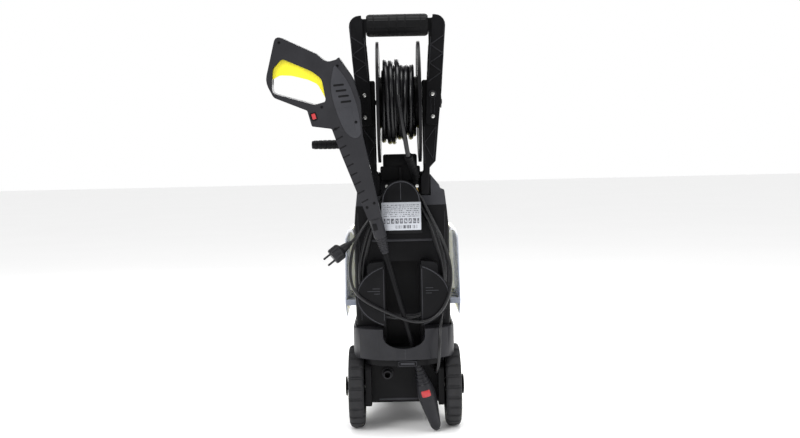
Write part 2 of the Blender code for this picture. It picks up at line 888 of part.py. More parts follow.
def make_side_holder(side, name):
    """Moulded holder for nozzles along one side: a folded wall with a shelf, closed at its front."""
    body = 0.1120
    half = [
        (body, 0.462, 0.0),
        (0.116, 0.474, 0.003),
        (0.126, 0.476, 0.006),
        (0.1335, 0.455, 0.012),
        (0.1375, 0.300, 0.0),
        (0.1345, 0.268, 0.0),
        (0.1325, 0.268, 0.0),
        (0.1335, 0.293, 0.0),
        (body, 0.293, 0.0),
        (body, 0.307, 0.0),
        (0.1335, 0.307, 0.0),
        (0.1300, 0.452, 0.009),
        (0.1230, 0.4695, 0.004),
        (0.1170, 0.4665, 0.002),
        (0.1155, 0.462, 0.0),
    ]
    outline = fillet([(side * x, z, r) for x, z, r in half], 3)
    holder = slab(f"side_holder_{name}", outline, -0.300, -0.115, SMOKE)
    closed = [(0.1120, 0.300), (0.1350, 0.300), (0.1315, 0.452), (0.1240, 0.4705), (0.1160, 0.4690), (0.1120, 0.461)]
    fuse(holder, slab(f"holder_end_{name}", [(side * x, z) for x, z in closed], -0.118, -0.115, None))
    for index, y in enumerate((-0.270, -0.208, -0.146)):
        start, end = (side * 0.1228, y, 0.28), (side * 0.1228, y, 0.32)
        cut(holder, rod(f"holder_hole_{name}_{index}", 0.0085, start, end, None, 12))
    return holder


# Hose run, cable and plug


def make_hose_run():
    """Outlet nipple, ribbed sleeve and the hose's last stretch up to the reel."""
    turned(
        "hose_outlet",
        [(0, 0.0165), (0.0062, 0.0165), (0.0062, 0.0120), (0.0085, 0.0120), (0.0085, 0), (0, 0)],
        BRASS,
        (0.037, -0.322, 0.5528 + 0.0004),
        (0, 0, 1),
        20,
    )
    tube(
        "hose_sleeve",
        [
            (0.0370, -0.3220, 0.5712),
            (0.0368, -0.3225, 0.5790),
            (0.0350, -0.3340, 0.6000),
            (0.0275, -0.3650, 0.6220),
            (0.0190, -0.3960, 0.6440),
        ],
        0.0095,
        RUBBER,
        0.012,
    )
    tube(
        "hose_lead",
        [
            (0.0185, -0.3975, 0.6452),
            (0.0166, -0.4050, 0.6530),
            (0.0115, -0.4180, 0.6880),
            (0.0060, -0.4242, 0.7250),
            (0.0015, -0.4246, 0.7560),
            (-0.0020, -0.4240, 0.7800),
        ],
        HOSE_RADIUS,
        RUBBER,
        0.012,
    )


def hank_outline():
    """Outer and inner loops of the wound cable round the upper and lower hooks."""
    outer = [
        (0.030, 0.583, 0.020),
        (0.047, 0.552, 0.04),
        (0.107, 0.415, 0.06),
        (0.104, 0.310, 0.05),
        (0.060, 0.262, 0.04),
    ]
    inner = [
        (0.0230, 0.5665, 0.016),
        (0.0325, 0.532, 0.02),
        (0.086, 0.412, 0.03),
        (0.086, 0.312, 0.026),
        (0.050, 0.284, 0.012),
    ]
    return both_sides(outer), both_sides(inner)


def make_cable():
    """Mains cable: gland, lead up to the winding, the wound turns, a loose turn and the plug."""
    turned(
        "cable_gland",
        [(0, 0.0100), (0.0048, 0.0100), (0.0065, 0.0), (0, 0)],
        RUBBER,
        (0.0700, BASE_REAR - GAP, 0.1480),
        (0, -1, 0),
        16,
    )
    tube(
        "cable_lead",
        [
            (0.0700, -0.3136, 0.1480),
            (0.0700, -0.3300, 0.1470),
            (0.0712, -0.3560, 0.1475),
            (0.0745, -0.3830, 0.1600),
            (0.0780, -0.3935, 0.1840),
            (0.0800, -0.3930, 0.2130),
            (0.0808, -0.3905, 0.2400),
            (0.0808, -0.3820, 0.2565),
            (0.0800, -0.3700, 0.2610),
            (0.0780, -0.3610, 0.2650),
        ],
        CABLE_RADIUS,
        RUBBER,
        0.0125,
    )
    outer, inner = hank_outline()
    slab("cable_hank", outer, HANK_REAR, HANK_FRONT, RUBBER, holes=(inner,))
    tube(
        "cable_loop",
        [
            (-0.0560, -0.3785, 0.5320),
            (-0.0800, -0.3800, 0.5080),
            (-0.1030, -0.3830, 0.4720),
            (-0.1170, -0.3870, 0.4220),
            (-0.1200, -0.3900, 0.3650),
            (-0.1100, -0.3915, 0.3320),
            (-0.0680, -0.3915, 0.3030),
            (-0.0300, -0.3950, 0.2850),
            (0.0000, -0.3985, 0.2720),
            (0.0330, -0.3950, 0.2620),
            (0.0680, -0.3915, 0.2690),
            (0.0930, -0.3910, 0.2950),
            (0.1080, -0.3885, 0.3300),
            (0.1120, -0.3840, 0.3750),
            (0.1050, -0.3795, 0.4200),
            (0.0850, -0.3785, 0.4700),
            (0.0600, -0.3785, 0.5150),
        ],
        CABLE_RADIUS,
        RUBBER,
        0.018,
    )
    out = Vector((-0.78, -0.20, -0.59)).normalized()
    neck = Vector((-0.1165, -0.3660, 0.4490))
    plug = turned(
        "mains_plug",
        [
            (0, 0.0560),
            (0.0175, 0.0560),
            (0.0190, 0.0520),
            (0.0190, 0.0330),
            (0.0160, 0.0290),
            (0.0105, 0.0260),
            (0.0080, 0.0120),
            (0.0052, 0.0),
            (0, 0),
        ],
        BLACK,
        neck,
        out,
        18,
    )
    side = out.cross(Vector((0, 1, 0))).normalized()
    for index, offset in enumerate((-0.0095, 0.0095)):
        start = neck + out * 0.054 + side * offset
        fuse(plug, rod(f"plug_pin_{index}", 0.0024, start, start + out * 0.021, None, 10))
    tube(
        "cable_tail",
        [
            (-0.0985, -0.3788, 0.4300),
            (-0.1030, -0.3775, 0.4430),
            (-0.1095, -0.3715, 0.4520),
            neck - out * 0.0060,
            neck - out * 0.0008,
        ],
        CABLE_RADIUS,
        RUBBER,
        0.007,
    )


# Inside the housing


def make_drive():
    """Upright motor over its pump, with the rotor free to turn."""
    centre = (0, -0.150)
    turned(
        "motor_housing",
        [
            (0.034, 0.480),
            (0.055, 0.470),
            (0.055, 0.335),
            (0.0070, 0.335),
            (0.0070, 0.339),
            (0.050, 0.339),
            (0.050, 0.466),
            (0.034, 0.476),
        ],
        LAMINATION,
        (*centre, 0),
        steps=28,
        ring=True,
    )
    turned(
        "motor_rotor",
        [
            (0, 0.500),
            (0.005, 0.500),
            (0.005, 0.452),
            (0.042, 0.452),
            (0.042, 0.444),
            (0.005, 0.444),
            (0.005, 0.430),
            (0.030, 0.430),
            (0.030, 0.360),
            (0.005, 0.360),
            (0.005, 0.3275),
            (0, 0.3275),
        ],
        STEEL,
        (*centre, 0),
        steps=20,
    )
    pump = slab(
        "pump_block",
        fillet(
            [
                (0.045, -0.195, 0.02),
                (0.045, -0.105, 0.02),
                (-0.045, -0.105, 0.02),
                (-0.045, -0.195, 0.02),
            ]
        ),
        0.200,
        0.3345,
        ALUMINIUM,
        "XY",
    )
    cut(pump, rod("pump_bore", 0.0075, (*centre, 0.320), (*centre, 0.36), None, 16))
    start, end = (0.0440, -0.150, 0.262), (0.0560, -0.150, 0.262)
    fuse(pump, rod("pump_valve_cap", 0.0140, start, end, None, 20))


def make_water_inlet():
    """Threaded hose inlet on the chassis' rear panel."""
    return turned(
        "water_inlet",
        [
            (0.0105, 0.026),
            (0.0105, 0.004),
            (0.0140, 0.004),
            (0.0140, 0.0),
            (0.0070, 0.0),
            (0.0070, 0.026),
        ],
        CHARCOAL,
        (-0.0405, BASE_REAR - GAP, 0.130),
        (0, -1, 0),
        20,
        ring=True,
    )


def make_power_knob():
    """Rotary on/off switch on the front of the hood."""
    seat = Matrix.Translation((0, BODY_FRONT + 0.0008, 0.335))
    axis = empty("power_knob_axis", seat @ Matrix.Rotation(math.radians(-90), 4, "X"))
    knob = turned(
        "power_knob",
        [(0, 0.012), (0.022, 0.012), (0.025, 0.009), (0.026, 0.0), (0, 0)],
        CHARCOAL,
        steps=28,
        parent=axis,
    )
    bar = block("power_knob_bar", (-0.0045, -0.021, 0.010), (0.0045, 0.021, 0.020), None, parent=axis)
    return fuse(knob, bar)


def make_screws():
    """The four screws through the handle's laps, seen from behind."""
    for side, name in ((1, "right"), (-1, "left")):
        for z, level in ((0.786, "upper"), (0.735, "lower")):
            start = (side * 0.078, HANDLE_REAR - GAP, z)
            profile = [(0, 0.0021), (0.0036, 0.0021), (0.0043, 0.0), (0, 0)]
            turned(f"handle_screw_{level}_{name}", profile, STEEL, start, (0, -1, 0), 12)


# Spray gun and lance


def gun_matrix():
    """The gun's frame: tilted to the left and leaning back, with its tip near the floor."""
    tilt = Matrix.Rotation(-GUN_TILT, 4, "Y")
    lean = Matrix.Rotation(GUN_LEAN, 4, "X")
    return Matrix.Translation(GUN_TIP) @ lean @ tilt


def gun_outline():
    """Outer edge of the gun's two shells."""
    return fillet(
        [
            (-0.0965, 0.9700, 0.010),
            (-0.0220, 0.9080, 0.030),
            (-0.0060, 0.8845, 0.015),
            (0.0160, 0.8845, 0.004),
            (0.0225, 0.8880, 0.002),
            (0.0400, 0.8350, 0.060),
            (0.0415, 0.7800, 0.060),
            (0.0255, 0.7110, 0.080),
            (0.0150, BARREL_END, 0),
            (-0.0150, BARREL_END, 0),
            (-0.0190, 0.5600, 0),
            (-0.0315, 0.6800, 0.040),
            (-0.0360, 0.7420, 0.004),
            (-0.0765, 0.7590, 0.004),
            (-0.0765, 0.7950, 0.004),
            (-0.1390, 0.8420, 0.014),
            (-0.1470, 0.8800, 0.040),
        ],
        3,
    )


def finger_opening():
    """The hole for the fingers, whose upper edge the trigger covers."""
    return fillet(
        [
            (-0.1395, 0.8520, 0.012),
            (-0.0560, 0.8020, 0.012),
            (-0.0310, 0.8020, 0.008),
            (-0.0265, 0.8527, 0.020),
            (-0.0420, 0.8740, 0.030),
            (-0.0976, 0.9180, 0.010),
            (-0.1230, 0.9030, 0.012),
        ],
        3,
    )


def make_gun_shells(parent):
    """Two mirrored shells with a pocket for the trigger, the valve and the hose socket."""
    pocket = [
        (-0.1360, 0.8700),
        (-0.1250, 0.9100),
        (-0.1060, 0.9270),
        (-0.0830, 0.9380),
        (-0.0520, 0.9130),
        (-0.0240, 0.8870),
        (-0.0100, 0.8600),
        (-0.0100, 0.7960),
        (-0.0340, 0.7960),
        (-0.0500, 0.8350),
    ]
    for side, name in ((-1, "rear"), (1, "front")):
        low, high = sorted((side * GAP / 2, side * GUN_HALF))
        shell = slab(f"gun_shell_{name}", gun_outline(), low, high, CHARCOAL, parent=parent)
        bevel(shell, 0.0035, 1, 60)
        low, high = sorted((side * -0.01, side * POCKET_HALF))
        room = slab(f"trigger_room_{name}", pocket, low, high, None, parent=parent)
        hole = slab(f"finger_hole_{name}", finger_opening(), -0.03, 0.03, None, parent=parent)
        cut(
            shell,
            hole,
            room,
            rod(f"valve_room_{name}", 0.0082, (0.006, 0, 0.705), (0.006, 0, 0.792), None, 16, parent),
            rod(f"coupling_room_{name}", 0.0078, (0, 0, 0.500), (0, 0, 0.560), None, 16, parent),
            rod(f"socket_room_{name}", 0.0105, (-0.050, 0, 0.775), (-0.09, 0, 0.775), None, 20, parent),
        )
        if side < 0:
            low, high = (-0.0720, -0.03, 0.7705), (-0.0600, -0.0112, 0.7875)
            cut(shell, block("clip_room", low, high, None, parent=parent))


def make_trigger(parent):
    """Lever in the finger opening, hinged at its lower end."""
    outline = fillet(
        [
            (-0.1325, 0.8800, 0.001),
            (-0.1215, 0.9030, 0.010),
            (-0.0960, 0.9190, 0.012),
            (-0.0400, 0.8795, 0.030),
            (-0.0205, 0.8530, 0.030),
            (-0.0160, 0.8060, 0.0045),
            (-0.0245, 0.8000, 0.004),
            (-0.0310, 0.8120, 0.002),
            (-0.0385, 0.8440, 0.020),
            (-0.0560, 0.8590, 0.030),
            (-0.0880, 0.8770, 0.050),
            (-0.1130, 0.8850, 0.020),
        ],
        3,
    )
    lever = slab("trigger", outline, -TRIGGER_HALF, TRIGGER_HALF, YELLOW, parent=parent)
    bevel(lever, 0.0015, 1, 60)
    recentre(lever, (TRIGGER_PIVOT[0], 0, TRIGGER_PIVOT[1]))


def make_gun():
    """Shells, trigger, valve, coupling, lance and nozzle on the gun's own frame."""
    frame = empty("gun_frame", gun_matrix())
    make_gun_shells(frame)
    make_trigger(frame)
    rod("gun_valve", 0.0078, (0.006, 0, 0.7055), (0.006, 0, 0.7915), BRASS, 16, parent=frame)
    turned(
        "gun_hose_socket",
        [(0.0102, 0.0225), (0.0102, 0.0), (0.0062, 0.0), (0.0062, 0.0225)],
        BRASS,
        (-0.0535, 0, 0.7750),
        (-1, 0, 0),
        20,
        ring=True,
        parent=frame,
    )
    clip = block("hose_release", (-0.0705, -0.0178, 0.7725), (-0.0615, -0.0140, 0.7855), RED, parent=frame)
    bevel(clip, 0.0008, 1)
    coupling = [
        (0.0072, 0.5580),
        (0.0072, BARREL_END - 0.0008),
        (0.0150, BARREL_END - 0.0008),
        (0.0145, 0.4780),
        (0.0130, 0.4720),
        (0.0104, 0.4500),
        (0.0072, 0.4370),
    ]
    turned("lance_coupling", [(0, 0.5580), *coupling, (0, 0.4370)], CHARCOAL, steps=20, parent=frame)
    rod("lance_tube", LANCE_RADIUS, (0, 0, 0.1705), (0, 0, 0.4367), BLACK, 16, parent=frame)
    nozzle = [
        (0, 0.1702),
        (0.0078, 0.1702),
        (0.0098, 0.1500),
        (0.0160, 0.1230),
        (0.0205, 0.0980),
        (0.0210, 0.0850),
        (0.0192, 0.0620),
        (0.0148, 0.0300),
        (0.0116, 0.0080),
        (0.0060, 0.0),
        (0, 0),
    ]
    turned("nozzle_head", nozzle, CHARCOAL, steps=20, parent=frame)


def main():
    make_rear_cover()
    make_front_cover()
    make_top_cover()
    make_rear_band()
    make_lance_rest()
    make_base_frame()
    make_front_foot()
    for side in (1, -1):
        make_wheel(side)
    make_axle()
    make_handle()
    make_carriers()
    make_reel()
    make_upper_hook()
    for side, name in ((1, "right"), (-1, "left")):
        make_lower_hook(side, name)
        make_side_holder(side, name)
    make_label()
    make_hose_run()
    make_cable()
    make_drive()
    make_water_inlet()
    make_power_knob()
    make_screws()
    make_gun()


main()
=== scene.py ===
"""Visual model of an upright pressure washer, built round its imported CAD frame.

Metres, +Z up, the rear with the cable hooks and the stored spray gun faces -Y. Each sub-assembly
is a class whose fields are its sizes and whose methods build and dress its pieces.
"""

import logging
import math
from collections.abc import Sequence
from dataclasses import dataclass
from enum import Enum

import bmesh
import bpy
import numpy as np
from mathutils import Matrix, Vector


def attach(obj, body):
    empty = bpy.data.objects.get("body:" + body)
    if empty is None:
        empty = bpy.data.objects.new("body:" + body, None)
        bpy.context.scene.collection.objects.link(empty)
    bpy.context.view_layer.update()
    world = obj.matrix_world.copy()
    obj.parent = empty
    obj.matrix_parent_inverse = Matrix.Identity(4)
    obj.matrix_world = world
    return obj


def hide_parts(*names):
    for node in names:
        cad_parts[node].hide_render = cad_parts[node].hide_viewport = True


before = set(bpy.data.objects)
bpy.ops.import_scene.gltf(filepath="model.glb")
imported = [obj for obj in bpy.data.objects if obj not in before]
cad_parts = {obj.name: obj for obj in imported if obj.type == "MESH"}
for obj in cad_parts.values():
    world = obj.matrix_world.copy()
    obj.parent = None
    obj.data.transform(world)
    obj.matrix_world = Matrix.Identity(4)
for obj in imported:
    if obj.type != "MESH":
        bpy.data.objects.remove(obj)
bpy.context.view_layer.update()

LOG = logging.getLogger("pressure_washer")
Colour = tuple[float, float, float]
Point = tuple[float, float, float]
ACROSS: Point = (1, 0, 0)
REARWARD: Point = (0, -1, 0)
FORWARD: Point = (0, 1, 0)
SIDES = ((1, "right"), (-1, "left"))
SINK = 0.0004  # how far an applied piece reaches into the surface that it stands on
CORD_SIDES = 3  # bevel resolution of a cord's round section


# Shader arithmetic


class Level:
    """A number that varies over a surface: a node's output with Python arithmetic."""

    def __init__(self, paint: "Paint", socket: bpy.types.NodeSocket) -> None:
        """Wraps a socket of one material's nodes."""
        self.paint = paint
        self.socket = socket

    def math(self, operation: str, *others: "Level | float", first: bool = True) -> "Level":
        """Adds a Math node.

        Args:
            operation: the Math node's operation.
            others: the other operands.
            first: whether this level is the first operand, or the last.
        Returns:
            The node's output.
        """
        terms = (self, *others) if first else (*others, self)
        node = self.paint.node(
            "ShaderNodeMath", {"operation": operation}, dict(enumerate(terms))
        )
        return Level(self.paint, node.outputs[0])

    def __add__(self, other: "Level | float") -> "Level":
        """Sum."""
        return self.math("ADD", other)

    __radd__ = __add__

    def __mul__(self, other: "Level | float") -> "Level":
        """Product."""
        return self.math("MULTIPLY", other)

    __rmul__ = __mul__

    def __sub__(self, other: "Level | float") -> "Level":
        """Difference."""
        return self.math("SUBTRACT", other)

    def __rsub__(self, other: float) -> "Level":
        """Difference from a number."""
        return self.math("SUBTRACT", other, first=False)

    def __truediv__(self, other: "Level | float") -> "Level":
        """Quotient."""
        return self.math("DIVIDE", other)

    def __gt__(self, other: "Level | float") -> "Level":
        """One where this level is the greater, else nought."""
        return self.math("GREATER_THAN", other)

    def __lt__(self, other: "Level | float") -> "Level":
        """One where this level is the smaller, else nought."""
        return self.math("LESS_THAN", other)

    def __abs__(self) -> "Level":
        """Absolute value."""
        return self.math("ABSOLUTE")

    def fraction(self) -> "Level":
        """What is left above the whole number below."""
        return self.math("FRACT")

    def floor(self) -> "Level":
        """The whole number below."""
        return self.math("FLOOR")

    def ramp(self, low: float, high: float, to_low: float = 0.0, to_high: float = 1.0) -> "Level":
        """Maps low..high to another range, smoothly and held at both ends.

        Args:
            low: input that gives to_low.
            high: input that gives to_high.
            to_low: output at and below low.
            to_high: output at and above high.
        Returns:
            The mapped level.
        """
        node = self.paint.node(
            "ShaderNodeMapRange",
            {"interpolation_type": "SMOOTHSTEP"},
            {0: self, 1: low, 2: high, 3: to_low, 4: to_high},
        )
        return Level(self.paint, node.outputs[0])


class Paint:
    """The nodes of one Principled material."""

    def __init__(self, name: str) -> None:
        """Starts an empty material with its output and Principled shader."""
        self.material = bpy.data.materials.new(name)
        self.material.use_nodes = True
        self.material.node_tree.nodes.clear()
        self.shader = self.node("ShaderNodeBsdfPrincipled")
        self.node(
            "ShaderNodeOutputMaterial", inputs={"Surface": self.shader.outputs["BSDF"]}
        )
        self.spot = self.node("ShaderNodeTexCoord").outputs["Object"]

    def node(
        self, kind: str, settings: dict | None = None, inputs: dict | None = None
    ) -> bpy.types.Node:
        """Makes any node.

        Args:
            kind: the node's type.
            settings: its own settings, which are set first.
            inputs: values, levels or sockets by input name or index.
        Returns:
            The node.
        """
        tree = self.material.node_tree
        made = tree.nodes.new(kind)
        for key, value in (settings or {}).items():
            setattr(made, key, value)
        for key, value in (inputs or {}).items():
            self.feed(made.inputs[key], value)
        return made

    def feed(self, socket: bpy.types.NodeSocket, value: object) -> None:
        """Links or sets one input."""
        if isinstance(value, Level):
            value = value.socket
        if isinstance(value, bpy.types.NodeSocket):
            self.material.node_tree.links.new(value, socket)
        elif isinstance(value, tuple) and socket.type == "RGBA":
            socket.default_value = (*value[:3], 1.0)
        else:
            socket.default_value = value

    def axes(self) -> tuple[Level, Level, Level]:
        """X, Y and Z of the surface point, in metres."""
        split = self.node("ShaderNodeSeparateXYZ", inputs={0: self.spot})
        return tuple(Level(self, split.outputs[index]) for index in range(3))

    def noise(self, size: float, detail: float = 3.0, stretch: Point = (1, 1, 1)) -> Level:
        """Smooth noise.

        Args:
            size: width of one blotch in metres.
            detail: octaves.
            stretch: scale of the pattern along each axis.
        Returns:
            Noise from nought to one, about a half.
        """
        place = self.node("ShaderNodeMapping", inputs={"Vector": self.spot, "Scale": stretch})
        made = self.node(
            "ShaderNodeTexNoise",
            inputs={"Vector": place.outputs[0], "Scale": 1.0 / size, "Detail": detail},
        )
        return Level(self, made.outputs[0])

    def dice(self, value: Level) -> Level:
        """A steady random number from nought to one for each value."""
        kind = {"noise_dimensions": "1D"}
        made = self.node("ShaderNodeTexWhiteNoise", kind, {"W": value})
        return Level(self, made.outputs["Value"])

    def facing_up(self) -> Level:
        """How far the surface faces the sky, from nought to one."""
        geometry = self.node("ShaderNodeNewGeometry")
        split = self.node("ShaderNodeSeparateXYZ", inputs={0: geometry.outputs["Normal"]})
        return Level(self, split.outputs[2]).ramp(0.2, 0.95)

    def blend(self, low: object, high: object, share: Level) -> bpy.types.NodeSocket:
        """Mixes two colours.

        Args:
            low: colour where the share is nought, a tuple or a socket.
            high: colour where it is one.
            share: the mask.
        Returns:
            The mixed colour.
        """
        made = self.node("ShaderNodeMix", {"data_type": "RGBA"}, {0: share, 6: low, 7: high})
        return made.outputs[2]

    def relief(self, height: Level, depth: float, strength: float = 1.0) -> bpy.types.NodeSocket:
        """A bump of that depth in metres from a height between nought and one."""
        made = self.node(
            "ShaderNodeBump", inputs={"Strength": strength, "Distance": depth, "Height": height}
        )
        return made.outputs["Normal"]

    def surface(self, **inputs: object) -> bpy.types.Material:
        """Feeds the Principled shader's inputs, whose names have underscores for spaces."""
        for key, value in inputs.items():
            self.feed(self.shader.inputs[key.replace("_", " ")], value)
        return self.material


# Finishes


@dataclass(frozen=True)
class Moulded:
    """Injection-moulded plastic: fine spark-eroded grain, handling sheen and a little dust."""

    slot: str
    colour: Colour
    roughness: float = 0.45
    grain: float = 0.0009
    depth: float = 0.00006
    dust: float = 0.10
    shine: float = 0.22

    def material(self) -> bpy.types.Material:
        """Builds the finish: grain in the bump, cloudy sheen, dust where the part faces up."""
        paint = Paint(finish_name(self.slot))
        grain = paint.noise(self.grain, 2.0)
        cloud = paint.noise(0.045, 4.0)
        streak = paint.noise(0.010, 3.0, (6.0, 6.0, 0.6))
        dusty = paint.facing_up() * cloud.ramp(0.35, 0.75) * self.dust
        pale = tuple(min(1.0, part * 1.5 + 0.004) for part in self.colour)
        tone = paint.blend(self.colour, pale, cloud.ramp(0.30, 0.80) * 0.45 + streak * 0.12)
        return paint.surface(
            Base_Color=paint.blend(tone, (0.36, 0.34, 0.31), dusty),
            Roughness=grain * 0.10 + cloud * 0.12 + streak * 0.06 + (self.roughness - 0.13),
            Normal=paint.relief(grain, self.depth, 0.7),
            Specular_IOR_Level=self.shine,
        )


@dataclass(frozen=True)
class Rubber:
    """Matt rubber or soft PVC: fine stipple, faint bloom and scuffs."""

    slot: str
    colour: Colour
    roughness: float = 0.62
    bloom: float = 0.30
    stretch: Point = (1, 1, 1)
    shine: float = 0.30

    def material(self) -> bpy.types.Material:
        """Builds the finish: stipple in the bump and a grey bloom in blotches."""
        paint = Paint(finish_name(self.slot))
        stipple = paint.noise(0.0006, 2.0, self.stretch)
        blotch = paint.noise(0.020, 5.0, self.stretch)
        scuff = paint.noise(0.004, 2.0, (0.6, 3.0, 3.0)).ramp(0.62, 0.74)
        bloomed = tuple(min(1.0, part * 2.0 + 0.008) for part in self.colour)
        share = blotch.ramp(0.40, 0.75) * self.bloom + scuff * 0.12
        return paint.surface(
            Base_Color=paint.blend(self.colour, bloomed, share),
            Roughness=stipple * 0.10 + blotch * 0.14 + (self.roughness - 0.10),
            Normal=paint.relief(stipple, 0.00008, 0.6),
            Specular_IOR_Level=self.shine,
        )


@dataclass(frozen=True)
class Metal:
    """Bare or plated metal with fine machining lines and a mottled oxide."""

    slot: str
    colour: Colour
    roughness: float = 0.30
    lines: Point = (1, 1, 14)

    def material(self) -> bpy.types.Material:
        """Builds the finish: lines in the bump, oxide in colour and roughness."""
        paint = Paint(finish_name(self.slot))
        line = paint.noise(0.003, 2.0, self.lines)
        oxide = paint.noise(0.008, 4.0).ramp(0.42, 0.78)
        dull = tuple(part * 0.62 for part in self.colour)
        return paint.surface(
            Base_Color=paint.blend(self.colour, dull, oxide * 0.55),
            Roughness=oxide * 0.16 + line * 0.10 + (self.roughness - 0.05),
            Metallic=1.0 - oxide * 0.12,
            Normal=paint.relief(line, 0.00005, 0.5),
        )


@dataclass(frozen=True)
class Smoked:
    """Milky smoke-grey plastic that light soaks through, with a painted highlight along its rolled
    upper edge.
    """

    slot: str
    colour: Colour
    pale: Colour
    top: float
    bottom: float

    def material(self) -> bpy.types.Material:
        """Builds the finish: painted light that brightens it towards the top, flow marks and haze.
        """
        paint = Paint(finish_name(self.slot))
        _, _, z = paint.axes()
        haze = paint.noise(0.030, 4.0)
        flow = paint.noise(0.012, 3.0, (1.0, 4.0, 0.5))
        # painted light: a slight brightening with height, and a strong painted highlight over the
        # top 28 mm
        rise = z.ramp(self.bottom, self.top)
        edge = z.ramp(self.top - 0.028, self.top)
        tone = paint.blend(self.colour, self.pale, rise * 0.12 + edge * 0.80)
        return paint.surface(
            Base_Color=paint.blend(tone, (0.62, 0.66, 0.70), haze.ramp(0.45, 0.8) * 0.08),
            Roughness=flow * 0.14 + haze * 0.08 + 0.16,
            Normal=paint.relief(flow, 0.00015, 0.4),
            Subsurface_Weight=0.9,
            Subsurface_Radius=(0.02, 0.02, 0.02),
            Subsurface_Scale=1.0,
        )


@dataclass(frozen=True)
class PrintedFoil:
    """Silver rating foil with generic printed marks: rows of dashes, plain boxes and bars."""

    slot: str
    low: tuple[float, float]
    high: tuple[float, float]

    def material(self) -> bpy.types.Material:
        """Builds the print from bands of Z crossed with cells of X whose noise says ink or none."""
        paint = Paint(finish_name(self.slot))
        x, _, z = paint.axes()
        across = (x - self.low[0]) / (self.high[0] - self.low[0])
        up = (z - self.low[1]) / (self.high[1] - self.low[1])
        row = up * 15.0
        cell = (across * 62.0).floor() * 0.37 + row.floor() * 7.13
        pick = paint.dice(cell)
        inside = (across > 0.05) * (across < 0.95)
        rows = (row.fraction() > 0.28) * (row.fraction() < 0.66) * (pick > 0.36)
        text = rows * ((up > 0.46) * (up < 0.93)) * inside
        gutter = 1.0 - (abs(across - 0.42) < 0.012)
        slot = across * 9.0
        boxed = (abs(slot.fraction() - 0.5) < 0.36) * (up > 0.24) * (up < 0.42)
        hollow = (abs(slot.fraction() - 0.5) < 0.22) * (up > 0.28) * (up < 0.38)
        boxes = (boxed - hollow * (pick > 0.5)) * inside
        bar = paint.dice((across * 130.0).floor())
        bars = (bar > 0.5) * (up > 0.06) * (up < 0.18) * (across > 0.34) * (across < 0.90)
        ink = (text * gutter + boxes + bars).math("MINIMUM", 1.0)
        brushed = paint.noise(0.0012, 2.0, (0.12, 1.0, 1.0))
        foil = paint.blend((0.38, 0.395, 0.43), (0.54, 0.56, 0.60), brushed)
        return paint.surface(
            Base_Color=paint.blend(foil, (0.035, 0.035, 0.045), ink * 0.92),
            Roughness=brushed * 0.12 + ink * 0.2 + 0.26,
            Metallic=0.55 - ink * 0.5,
            Normal=paint.relief(brushed, 0.00002, 0.4),
        )


def finish_name(slot: str) -> str:
    """A finish's material name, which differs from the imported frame's own."""
    return f"{slot}_finish"


class Finish(Enum):
    """Every finish on the machine, by the record's material slot."""

    # BLACK also paints the shade of the gun's slots and scallops
    BLACK = Moulded("black_plastic", (0.0030, 0.0030, 0.0037), 0.40, dust=0.01, shine=0.12)
    # SHOULDER also paints highlights: the ledge under the label and the hooks' rims
    SHOULDER = Moulded("shoulder_plastic", (0.026, 0.0265, 0.031), 0.46, dust=0.03)
    # CHARCOAL also paints highlights on the handle's truss ribs
    CHARCOAL = Moulded("charcoal_plastic", (0.0125, 0.0125, 0.0150), 0.40, dust=0.02)
    YELLOW = Moulded("yellow_plastic", (0.70, 0.61, 0.012), 0.26, 0.0016, 0.00002, 0.01, 0.5)
    RED = Moulded("red_plastic", (0.36, 0.022, 0.026), 0.28, 0.0012, 0.00003, 0.01, 0.5)
    # SMOKE's pale second colour is a painted highlight along the holders' top edge
    SMOKE = Smoked("smoke_plastic", (0.22, 0.24, 0.29), (0.82, 0.84, 0.87), 0.474, 0.30)
    RUBBER = Rubber("rubber", (0.0026, 0.0026, 0.0031), 0.55, 0.12, shine=0.14)
    TYRE = Rubber("tyre", (0.0125, 0.0125, 0.0140), 0.66, 0.30)
    HOSE = Rubber("hose", (0.0060, 0.0060, 0.0072), 0.27, 0.15, shine=0.42)
    CABLE = Rubber("cable", (0.0065, 0.0065, 0.0075), 0.28, 0.15, shine=0.42)
    PLUG = Rubber("plug_rubber", (0.010, 0.010, 0.012), 0.42, 0.25)
    FOIL = PrintedFoil("label_foil", (-0.0450, 0.4755), (0.0450, 0.5395))
    STEEL = Metal("zinc_steel", (0.72, 0.72, 0.70), 0.26)
    BRASS = Metal("brass", (0.78, 0.56, 0.22), 0.28)
    CAST = Metal("cast_aluminium", (0.56, 0.57, 0.59), 0.46, (1, 1, 1))
    MOTOR = Metal("motor_steel", (0.34, 0.35, 0.37), 0.40, (1, 1, 10))

    def material(self) -> bpy.types.Material:
        """The finish's material, made once."""
        return bpy.data.materials.get(finish_name(self.value.slot)) or self.value.material()


# Surfaces in numpy


def unit(vectors: np.ndarray) -> np.ndarray:
    """Vectors divided by their length."""
    return vectors / np.maximum(np.linalg.norm(vectors, axis=-1, keepdims=True), 1e-12)


def smooth_step(values: np.ndarray | float, low: float, high: float) -> np.ndarray:
    """Nought below low, one above high, and 3t^2 - 2t^3 between."""
    t = np.clip((np.asarray(values, float) - low) / (high - low), 0.0, 1.0)
    return t * t * (3.0 - 2.0 * t)


def quads(rows: int, columns: int, wrap_columns: bool) -> np.ndarray:
    """Corner numbers of a grid's quads.

    Args:
        rows: points along the first parameter.
        columns: points along the second.
        wrap_columns: whether the last column joins the first.
    Returns:
        One row of four point numbers per quad.
    """
    r, c = np.meshgrid(
        np.arange(rows - 1),
        np.arange(columns if wrap_columns else columns - 1),
        indexing="ij",
    )
    right, below = (c + 1) % columns, r + 1
    corners = (r * columns + c, r * columns + right, below * columns + right, below * columns + c)
    return np.stack(corners, axis=-1).reshape(-1, 4)


